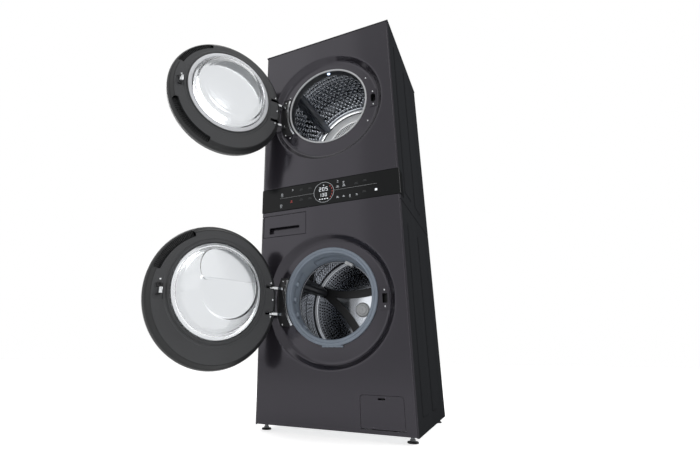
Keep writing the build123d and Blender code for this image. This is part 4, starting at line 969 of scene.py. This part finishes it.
def holes(name, rows, axis_height):
    """Rings of holes, as dark plugs let into a drum's wall or end wall; the plugs' near-black colour is painted
    shade for the dark seen through the holes.

    Each row is a radius, a depth, a count, the angle of its first hole and the sweep to its last.
    """
    pieces = []
    for radius, depth, count, start, sweep in rows:
        turn = SIDEWAYS if radius > HOLED_WALL else FACING
        plug = cylinder("plug", 6, HOLE, PLUG, spot(radius, depth, axis_height), turn)
        pieces.append(around(turned(plug, start, axis_height), count, axis_height, sweep))
    return join(name, *pieces)


wall_rows = []
for depth in (*range(118, 218, HOLE_PITCH), *range(276, 322, HOLE_PITCH), *range(344, 424, HOLE_PITCH)):
    wall_rows.append((WASHER_WALL - 0.1, depth, WALL_HOLES, 180 / WALL_HOLES * (len(wall_rows) % 2), 360))
# The wall's holes are dark plugs whose colour is painted shade.
perforation = holes("wash_perforation", wall_rows, WASHER_AXIS)
settle(perforation, "washer_drum", "black_plastic", finish="dark_gap")


def lifter_bars(name, base, crest, start, end, degrees, axis_height):
    """Three lifters: tapered bars with rounded crests and a groove along each flank."""
    bar = block(name, (crest, start, axis_height - 30), (base, end, axis_height + 30))
    pick(bar, "FACE", lambda at: at.x < crest + NEAR)
    bpy.ops.transform.resize(value=(1, 0.92, 0.42))
    close(bar)
    rounded_edges(bar, lambda at: at.x < base - NEAR, 8)
    edge = crest + 20
    for flank in (axis_height - 20, axis_height + 20):
        cut(bar, block("groove", (edge, start + 30, flank - 5), (edge + 6, end - 30, flank + 5)))
    close(turned(bar, degrees, axis_height))
    return flatten(around(bar, 3, axis_height))


LIFTER_ANGLE = 155
BAND_ANGLE = LIFTER_ANGLE - 60
bars = lifter_bars("wash_lifters", 237.4, 180, 108, 424, LIFTER_ANGLE, WASHER_AXIS)
settle(bars, "washer_drum", "lifter_grey", "drum_lifters")

BAND_REACH = 168
BAND_BOW = 28
BAND_OUTER = 92
BAND_INNER = 57
PATCH_RISE = BAND_OUTER + 10
PATCH_LIMIT = 47


def bowed(rise, across):
    """A point of an edge that bows towards the axis, in a frame whose height is away from the axis."""
    return across, WASHER_AXIS + rise + BAND_BOW * (across / BAND_REACH) ** 2


steps = [BAND_REACH * step / 8 for step in range(-8, 9)]
edges = [bowed(BAND_OUTER, across) for across in steps]
edges += [bowed(BAND_INNER, -across) for across in steps]
band = prism("wash_bands", edges, 427, 437.5, 2.5, "front", 3)
around(turned(band, BAND_ANGLE - 90, WASHER_AXIS), 3, WASHER_AXIS)
settle(flatten(band), "washer_drum", "lifter_grey", finish="black_plastic")
HUB = [
    (422, 0), (422, 5, 1), (425, 6, 0.6), (425, 19, 2), (429, 21, 1), (429, 24, 1), (427, 26, 1),
    (432, 31, 2), (437, 34), (437, 0),
]
hub = lathe("wash_hub", HUB, WASHER_AXIS, steps=64, closed=False)
settle(hub, "washer_drum", "drum_steel", finish="inlet_plastic")
rear_rows = []
for radius in range(118, 224, 12):
    curve = BAND_BOW * (radius / BAND_REACH) ** 2
    share = (math.sqrt(radius**2 + 4 * curve * (curve + PATCH_RISE)) - radius) / (2 * curve)
    half = min(math.degrees(math.acos(share)), PATCH_LIMIT)
    count = max(2, round(math.radians(2 * half) * radius / HOLE_PITCH))
    rear_rows.append((radius, WASHER_REAR - 0.3, count, BAND_ANGLE - half, 2 * half))
# The rear wall's holes are dark plugs whose colour is painted shade.
patches = around(holes("wash_rear_holes", rear_rows, WASHER_AXIS), 3, WASHER_AXIS)
settle(patches, "washer_drum", "black_plastic", finish="dark_gap")

# Dryer mouth and drum

DRYER_RING = [
    (26.9, 183), (23.6, 183, 1.4), (22.6, 178.4, 2), (25, 175.5, 2), (30, 176), (30, 178), (26.9, 180),
]
DRYER_TUBE = [
    (27, 174.6, 1), (61, 174, 1), (61, 199.7), (83, 199.7, 1), (83, 204.7, 1), (61, 204.7), (61, 282),
    (58, 282), (58, 177.9), (28.6, 177.9),
]
ring = lathe("dryer_mouth", DRYER_RING, DRYER_MOUTH)
settle(ring, "cabinet", "grey_plastic", "dryer_mouth_ring", finish="inlet_plastic")
tube = lathe("dryer_mouth_tube", DRYER_TUBE, DRYER_MOUTH)
settle(tube, "cabinet", "grey_plastic", finish="lifter_grey")
lamp = block("dryer_lamp", (2, 31, DRYER_MOUTH + 166.5), (15, 39, DRYER_MOUTH + 173), 2.5, 4)
pick(lamp, "FACE", lambda at: at.z < DRYER_MOUTH + 167)
bpy.ops.mesh.inset(thickness=2 * MM, depth=1 * MM)
settle(close(lamp), "cabinet", "grey_plastic", finish="lamp_light")
DRYER_WALL = 266
DRYER_SHELL = [
    (64, 205.2), (64, 262, 5), (69, 267.5, 4), (500, 267.5, 6), (506.4, 258, 5), (506.4, 0), (504.8, 0),
    (504.8, 257, 5), (499, DRYER_WALL, 5),
    *ribbed_wall(DRYER_WALL, (300,), 2.2),
    (70, DRYER_WALL, 4), (65.6, 261, 3), (65.6, 205.2),
]
TRIM = [(504.6, 262), (500, 260, 2), (496, 255, 3), (496, 246, 3), (501, 238, 3), (504.6, 236)]
GROOVE = [(504.6, 236), (503.6, 236), (503.6, 230), (504.6, 230)]
PLATE = [(504.6, 230), (499, 228, 1.5), (499, 190, 1.5), (503, 186), (503, 0), (504.6, 0)]
DIMPLE = 11
DIMPLE_PITCH = 25
DIMPLE_ROWS = 17
DIMPLES = 67
DIMPLE_SHIFT = 0.618
DIMPLE_ANGLE = 80
shell = lathe("dry_drum", DRYER_SHELL, DRYER_AXIS, closed=False)
first_dimple = spot(DRYER_WALL, 82, DRYER_AXIS)
bpy.ops.object.select_all(action="DESELECT")
bpy.ops.mesh.primitive_uv_sphere_add(segments=8, ring_count=6, radius=DIMPLE * MM, location=first_dimple)
dimple = begin("dimple")
pick(dimple, "VERT", lambda at: True)
bpy.ops.transform.resize(value=(0.42, 1, 1), center_override=first_dimple)
bpy.ops.mesh.bisect(plane_co=spot(DRYER_WALL + 0.5, 0, 0), plane_no=(1, 0, 0), clear_outer=True)
close(dimple, DIMPLE_ANGLE)
rows = []
for number in range(DIMPLE_ROWS):
    choose(dimple)
    bpy.ops.object.duplicate()
    row = turned(bpy.context.object, 360 / DIMPLES * (number * DIMPLE_SHIFT % 1), DRYER_AXIS)
    bpy.ops.transform.translate(value=(0, number * DIMPLE_PITCH * MM, 0))
    rows.append(around(fix_placing(row), DIMPLES, DRYER_AXIS))
bpy.data.objects.remove(dimple)
settle(shell, "dryer_drum", "drum_steel", "dryer_drum")
settle(close(join("dry_dimples", *rows), DIMPLE_ANGLE), "dryer_drum", "drum_steel")
bars = lifter_bars("dry_lifters", 264, 208, 84, 488, 138, DRYER_AXIS)
settle(bars, "dryer_drum", "lifter_grey", "dryer_lifters", finish="dry_lifter")
settle(lathe("dry_trim", TRIM, DRYER_AXIS), "dryer_drum", "bright_metal")
# The groove between the trim and the rear plate is only 1 mm deep; its near-black colour is painted shade.
settle(lathe("dry_groove", GROOVE, DRYER_AXIS), "dryer_drum", "black_plastic", finish="dark_gap")
plate = lathe("dry_rear_plate", PLATE, DRYER_AXIS, closed=False)
settle(plate, "dryer_drum", "drum_steel", finish="inlet_plastic")
# The rear plate's grille: holes as dark plugs whose colour is painted shade.
grille = []
for radius in range(10, 184, GRILLE_PITCH):
    grille.append((radius, 503, round(math.tau * radius / GRILLE_PITCH), 0, 360))
settle(holes("dry_grille", grille, DRYER_AXIS), "dryer_drum", "black_plastic", finish="dark_gap")

# Drawer and filter cover

RECESS_LEFT = -259
RECESS_RIGHT = -120
RECESS_FLOOR = 743.5
RECESS_BACK = 21
FACE_LEFT = 110.8
FACE_RIGHT = 258.2
FACE_LOW = 36.8
FACE_HIGH = 139.2

drawer = block("drawer_face", (-287, 0, 731), (-91, 24, 824))
rounded_edges(drawer, lambda at: at.y < FRONT + NEAR, 2)
for name, start, top in (("slot", -5, 771), ("rise", 8, 785)):
    cut(drawer, block(name, (RECESS_LEFT, start, RECESS_FLOOR), (RECESS_RIGHT, RECESS_BACK, top), 3))
settle(flatten(close(drawer)), "drawer", "front_paint_plastic", "drawer_front")
pocket = block(
    "drawer_pocket",
    (RECESS_LEFT + 0.1, RECESS_BACK - 1.8, RECESS_FLOOR + 0.1),
    (RECESS_RIGHT - 0.1, RECESS_BACK - 0.1, 784.8),
    0.4,
    1,
)
settle(pocket, "drawer", "front_paint_plastic")

cover = block("filter_face", (FACE_LEFT, 0, FACE_LOW), (FACE_RIGHT, 3, FACE_HIGH))
for end, corner in ((FACE_HIGH, 10), (FACE_LOW, 3)):
    rounded_edges(cover, end_corners(end, FACE_LEFT, FACE_RIGHT), corner)
rounded_edges(cover, lambda at: at.y < FRONT + 0.5, 0.9, 3)
cut(cover, block("notch", (172, -5, 125.5), (197, 10, 131.5), 2.5))
settle(flatten(close(cover)), "filter_cover", "front_paint_plastic", "filter_cover")

# Control band

band = block("band_glass", (-299, 0, 843.5), (299, 3, 947))
rounded_edges(band, lambda at: at.y < FRONT + 0.5, 0.8, 3)
settle(flatten(band), "cabinet", "band_glass", "control_glass")

PRINT = -0.25
PRINT_BACK = 0.1


def bar_mark(x, height, wide, tall):
    low = (x - wide / 2, PRINT, height - tall / 2)
    return block("mark", low, (x + wide / 2, PRINT_BACK, height + tall / 2), 0.08, 1)


def ring_mark(x, height, radius, width):
    inner = radius - width
    section = [(PRINT, radius), (PRINT, inner), (PRINT_BACK, inner), (PRINT_BACK, radius)]
    return lathe("mark", section, height, x, steps=48)


def printed(name, marks, finish):
    """Join marks and lay them on the band's glass."""
    settle(join(name, *marks), "cabinet", "band_glass", finish=finish)


SEGMENTS = {"0": "abcdef", "1": "bc", "2": "abged", "3": "abgcd", "5": "afgcd"}
RING_ICONS = [(-202, 915, 4.5), (-206, 866, 4.5), (51, 936, 2.5), (76, 927, 3.2), (101, 866, 3)]
BAR_ICONS = [(-152, 929, 6), (50, 911, 13), (77, 912, 13), (49, 866, 11), (75, 866, 9), (129, 865, 8)]
FAINT_ICONS = [(-112, 925), (-72, 925), (-112, 880), (-72, 880), (129, 913), (164, 919), (160, 873)]
DISPLAY_X = -10
DISPLAY_HEIGHT = 896.5


def digit_marks(x, height, tall, shape):
    """A numeral made of straight bars."""
    wide = tall * 0.5
    thick = tall * 0.11
    places = {
        "a": (0, tall / 2, wide, thick),
        "g": (0, 0, wide, thick),
        "d": (0, -tall / 2, wide, thick),
        "f": (-wide / 2, tall / 4, thick, tall / 2),
        "b": (wide / 2, tall / 4, thick, tall / 2),
        "e": (-wide / 2, -tall / 4, thick, tall / 2),
        "c": (wide / 2, -tall / 4, thick, tall / 2),
    }
    marks = []
    for letter in SEGMENTS[shape]:
        across, up, length, rise = places[letter]
        marks.append(bar_mark(x + across, height + up, length, rise))
    return marks


bright = [bar_mark(207, 873, 9, 9), bar_mark(DISPLAY_X, 927, 4, 3)]
for row, numeral, tall in ((910, "205", 15), (885, "130", 13)):
    for number, shape in enumerate(numeral):
        bright += digit_marks(DISPLAY_X - 16 + number * 0.95 * tall, row, tall, shape)
for number in range(4):
    bright.append(bar_mark(DISPLAY_X - 18 + number * 11, 867, 6, 3.5))
printed("band_marks", bright, "display_white")

dim = [ring_mark(DISPLAY_X, DISPLAY_HEIGHT, 44, 0.9)]
for x, height, radius in RING_ICONS:
    dim.append(ring_mark(x, height, radius, 1.2))
    dim.append(bar_mark(x, height - radius - 4, radius * 2.4, 1))
for x, height, wide in BAR_ICONS:
    dim.append(bar_mark(x, height + 2.4, wide * 0.6, 2.2))
    dim.append(bar_mark(x, height - 2.4, wide, 1.4))
printed("band_icons", dim, "display_dim")
red = [bar_mark(-157, 880, 6, 3), bar_mark(-157, 874, 10, 1.4)]
for degrees in range(-40, 41, 20):
    across, height = polar(37, degrees, DISPLAY_HEIGHT)
    red.append(bar_mark(across + DISPLAY_X, height, 2.2, 6))
printed("band_red_marks", red, "display_red")
faint = []
for x, height in FAINT_ICONS:
    faint.append(bar_mark(x, height + 2.4, 12, 1.6))
    faint.append(bar_mark(x, height - 2.4, 16, 1.6))
printed("band_faint_marks", faint, "faint_print")
lines = [bar_mark(-132, 898, 160, 0.7), bar_mark(122, 898, 180, 0.7)]
printed("band_lines", lines, "grey_plastic")

# Side sheets, rear panel and springs

SIDE_FACE = 298
SIDE_INNER = 296.8
SIDE_RETURN = 291
CABINET_DEPTH = 600
UNDERSIDE = 20
SEAM = 822
LID = 1650
FIELD_RISE = 3.5
FIELD_HALF = 65
FIELD_CORNER = 14
SPRING_X = 150
SPRING_DEPTH = 380
SPRING_TOP = 824
SPRING_FOOT = 700
WIRE = 1.7
COIL_RADIUS = 14.2
COIL_PITCH = 9.27


def side_field(side, place, low, high):
    """A field pressed outwards in a side sheet, with round corners and a sloped border."""
    near, far = sorted((side * (SIDE_FACE - 0.8), side * (SIDE_FACE + FIELD_RISE)))
    field = block("field", (near, place - FIELD_HALF, low), (far, place + FIELD_HALF, high))
    middle = FRONT + place
    rounded_edges(
        field,
        lambda at: abs(at.y - middle) > FIELD_HALF - NEAR and not low + NEAR < at.z < high - NEAR,
        FIELD_CORNER,
    )
    return rounded_edges(field, lambda at: abs(at.x) > SIDE_FACE + FIELD_RISE - 0.1, FIELD_RISE, 1)


def side_sheet(name, node, side, bottom, top):
    """A folded side sheet with its front return and two pressed fields."""
    fold = SIDE_START + SIDE_FACE - SIDE_INNER
    outline = [(SIDE_RETURN, SIDE_START), (SIDE_FACE, SIDE_START), (SIDE_FACE, CABINET_DEPTH)]
    outline += [(SIDE_INNER, CABINET_DEPTH), (SIDE_INNER, fold), (SIDE_RETURN, fold)]
    sheet = prism(name, [(side * x, depth) for x, depth in outline], bottom, top, 0, "flat")
    rounded_edges(sheet, lambda at: abs(at.x) > SIDE_FACE - 0.1 and at.y < FRONT + SIDE_START + 0.1, 3)
    rounded_edges(
        sheet, lambda at: abs(at.x) > SIDE_FACE - 0.1 and not bottom + NEAR < at.z < top - NEAR, 1.1, 2
    )
    near, far = sorted((side * 290, side * 302))
    cut(sheet, block("notch", (near, -2, 843), (far, 60.5, 947.5)))
    fields = [side_field(side, place, bottom + 50, top - 70) for place in (148, 348)]
    near, far = sorted((side * (SIDE_INNER - 2), side * (SIDE_INNER + 0.2)))
    fields.append(block("backing", (near, 12, SEAM - 8), (far, CABINET_DEPTH - 2, SEAM + 8)))
    settle(flatten(join(name, sheet, *fields)), "cabinet", "side_paint", node)


for side, word in ((-1, "left"), (1, "right")):
    side_sheet(f"washer_{word}_sheet", f"washer_{word}_side", side, UNDERSIDE, SEAM - 1.5)
    side_sheet(f"dryer_{word}_sheet", f"dryer_{word}_side", side, SEAM + 1.5, LID)

rear = block("rear_sheet", (-SIDE_INNER, CABINET_DEPTH - 1.2, UNDERSIDE), (SIDE_INNER, CABINET_DEPTH, LID))
vent = rounded_plate("vents", (-75, 290, -2.5), (75, 310, 2.5), 2.4)
vent_spots = [spot(x, CABINET_DEPTH, height) for x in (-110, 110) for height in range(1420, 1560, 16)]
cut(rear, copy_at(vent, vent_spots))
for radius, x in ((10.3, 205), (14.8, -205), (14.8, -160)):
    cut(rear, drum("hole", radius, CABINET_DEPTH - 10, CABINET_DEPTH + 10, 780, x))
rear_fields = []
for low, high in ((90, 700), (980, 1370)):
    far = (220, CABINET_DEPTH + 2, high)
    field = rounded_plate("field", (-220, CABINET_DEPTH - 0.8, low), far, FIELD_CORNER)
    rear_fields.append(rounded_edges(field, lambda at: at.y > FRONT + CABINET_DEPTH + 1.9, 2, 1))
settle(flatten(join("rear_sheet", rear, *rear_fields)), "cabinet", "zinc", "rear_panel")
rear_heads = [spot(x, CABINET_DEPTH, height) for x in (-284, 284) for height in range(60, 1640, 195)]
settle(copy_at(screw("rear_screws", 4, True), rear_heads), "cabinet", "bright_metal")

bpy.ops.object.select_all(action="DESELECT")
bpy.ops.mesh.primitive_circle_add(
    vertices=10,
    radius=WIRE * MM,
    location=(COIL_RADIUS * MM, 0, (SPRING_FOOT + 1.8) * MM),
    rotation=FACING,
)
coil = begin("tub_springs")
winding = {"axis": "Z", "screw_offset": COIL_PITCH * MM, "iterations": 13, "steps": 24, "render_steps": 24}
apply_modifier(coil, "SCREW", **winding)
pick(coil, "VERT", lambda at: True)
bpy.ops.mesh.fill_holes(sides=0)
face_outwards()
coils = copy_at(close(coil), [spot(side * SPRING_X, SPRING_DEPTH, 0) for side in (-1, 1)])
spring_ends = (spot(0, SPRING_DEPTH, SPRING_TOP), spot(0, SPRING_DEPTH, SPRING_FOOT))
bridge(coils, "machine_steel", *spring_ends, "suspension_springs")

# Feet

FOOT = [(0, 0), (0, 18, 1), (5, 18, 1.5), (6, 15), (7, 8), (7, 0)]
STEM = [(5.5, 0), (5.5, 9), (12, 9, 0.8), (12.5, 6.5), (20, 6.5), (20, 0)]
foot_spots = [Vector((side * 0.27, y, 0)) for side in (-1, 1) for y in (-0.26, 0.25)]
foot = lathe("feet", FOOT, up=True, steps=40, closed=False)
settle(copy_at(foot, foot_spots), "cabinet", "black_rubber", "levelling_feet")
stem = lathe("foot_stems", STEM, up=True, steps=40, closed=False)
settle(copy_at(stem, foot_spots), "cabinet", "bright_metal", finish="pump_plastic")


# Stage


def softbox(name, place, target, width, height, watts):
    """A rectangular lamp that looks at a place."""
    light = bpy.data.lights.new(name, "AREA")
    light.shape = "RECTANGLE"
    light.size = width
    light.size_y = height
    light.energy = watts
    lamp = bpy.data.objects.new(name, light)
    bpy.context.scene.collection.objects.link(lamp)
    lamp.location = place
    lamp.rotation_euler = (Vector(target) - lamp.location).to_track_quat("-Z", "Y").to_euler()


for across, watts in ((-2.5, 9), (-1.8, 7.5), (-1.1, 5)):
    softbox("key", (across, -3.4, 2.5), (across, 0, 2.5), 0.7, 4.4, watts)
softbox("rim", (3.0, 1.2, 2.8), (0.3, 0, 1.2), 2.4, 2.4, 80)
softbox("left", (-3.2, 1.4, 2.4), (-0.3, 0, 1), 2, 2, 50)
softbox("fill", (2.4, -3.0, 1.2), (0, 0, 0.8), 0.5, 2.4, 9)
softbox("top", (0, 0.2, 3.6), (0, 0, 0), 2.4, 2.4, 16)
GLOWS = [(WASHER_MOUTH, 88, 0.05), (WASHER_AXIS, 320, 0.06), (DRYER_MOUTH, 88, 0.05), (DRYER_AXIS, 350, 0.7)]
for height, depth, watts in GLOWS:
    softbox("glow", spot(0, depth, height), spot(0, depth + 100, height), 0.2, 0.2, watts)

world = bpy.data.worlds.new("studio")
bpy.context.scene.world = world
sky = Graph(world)
seen = sky.ray("Camera").highest(sky.ray("Glossy")).highest(sky.ray("Transmission"))
strength = sky.node("ShaderNodeMapRange", {}, {"Value": seen, "To Min": 0.5, "To Max": 1}, "Result")
sky.feed(sky.tree.nodes["Background"], {"Color": (1, 1, 1, 1), "Strength": strength})

bpy.ops.object.select_all(action="DESELECT")
bpy.ops.mesh.primitive_plane_add(size=30)
floor = begin("floor")
ground = Finish("ground", {"Roughness": 0.8, "Emission Strength": 0.6})
dust = ground.noise(3, 3)
in_view = ground.ray("Camera") + ground.ray("Glossy") + ground.ray("Transmission")
ground.wear({"Emission Color": ground.mix(in_view, (0, 0, 0, 1), (1, 1, 1, 1))})
ground.wear({"Base Color": ground.mix(dust, (0.8, 0.8, 0.8, 1), (0.82, 0.82, 0.82, 1))})
floor.data.materials.append(ground.material)

camera = bpy.data.objects.new("camera", bpy.data.cameras.new("camera"))
bpy.context.scene.collection.objects.link(camera)
bpy.context.scene.camera = camera
camera.data.sensor_width = 36
camera.data.lens = 21.7697
camera.data.shift_x = 0.0822
camera.data.shift_y = -0.0319
camera.location = (0.594, -1.8034, 0.2648)
camera.rotation_euler = [math.radians(angle) for angle in (108.8726, -0.5992, 26.19)]

bpy.context.scene.view_settings.view_transform = "Standard"
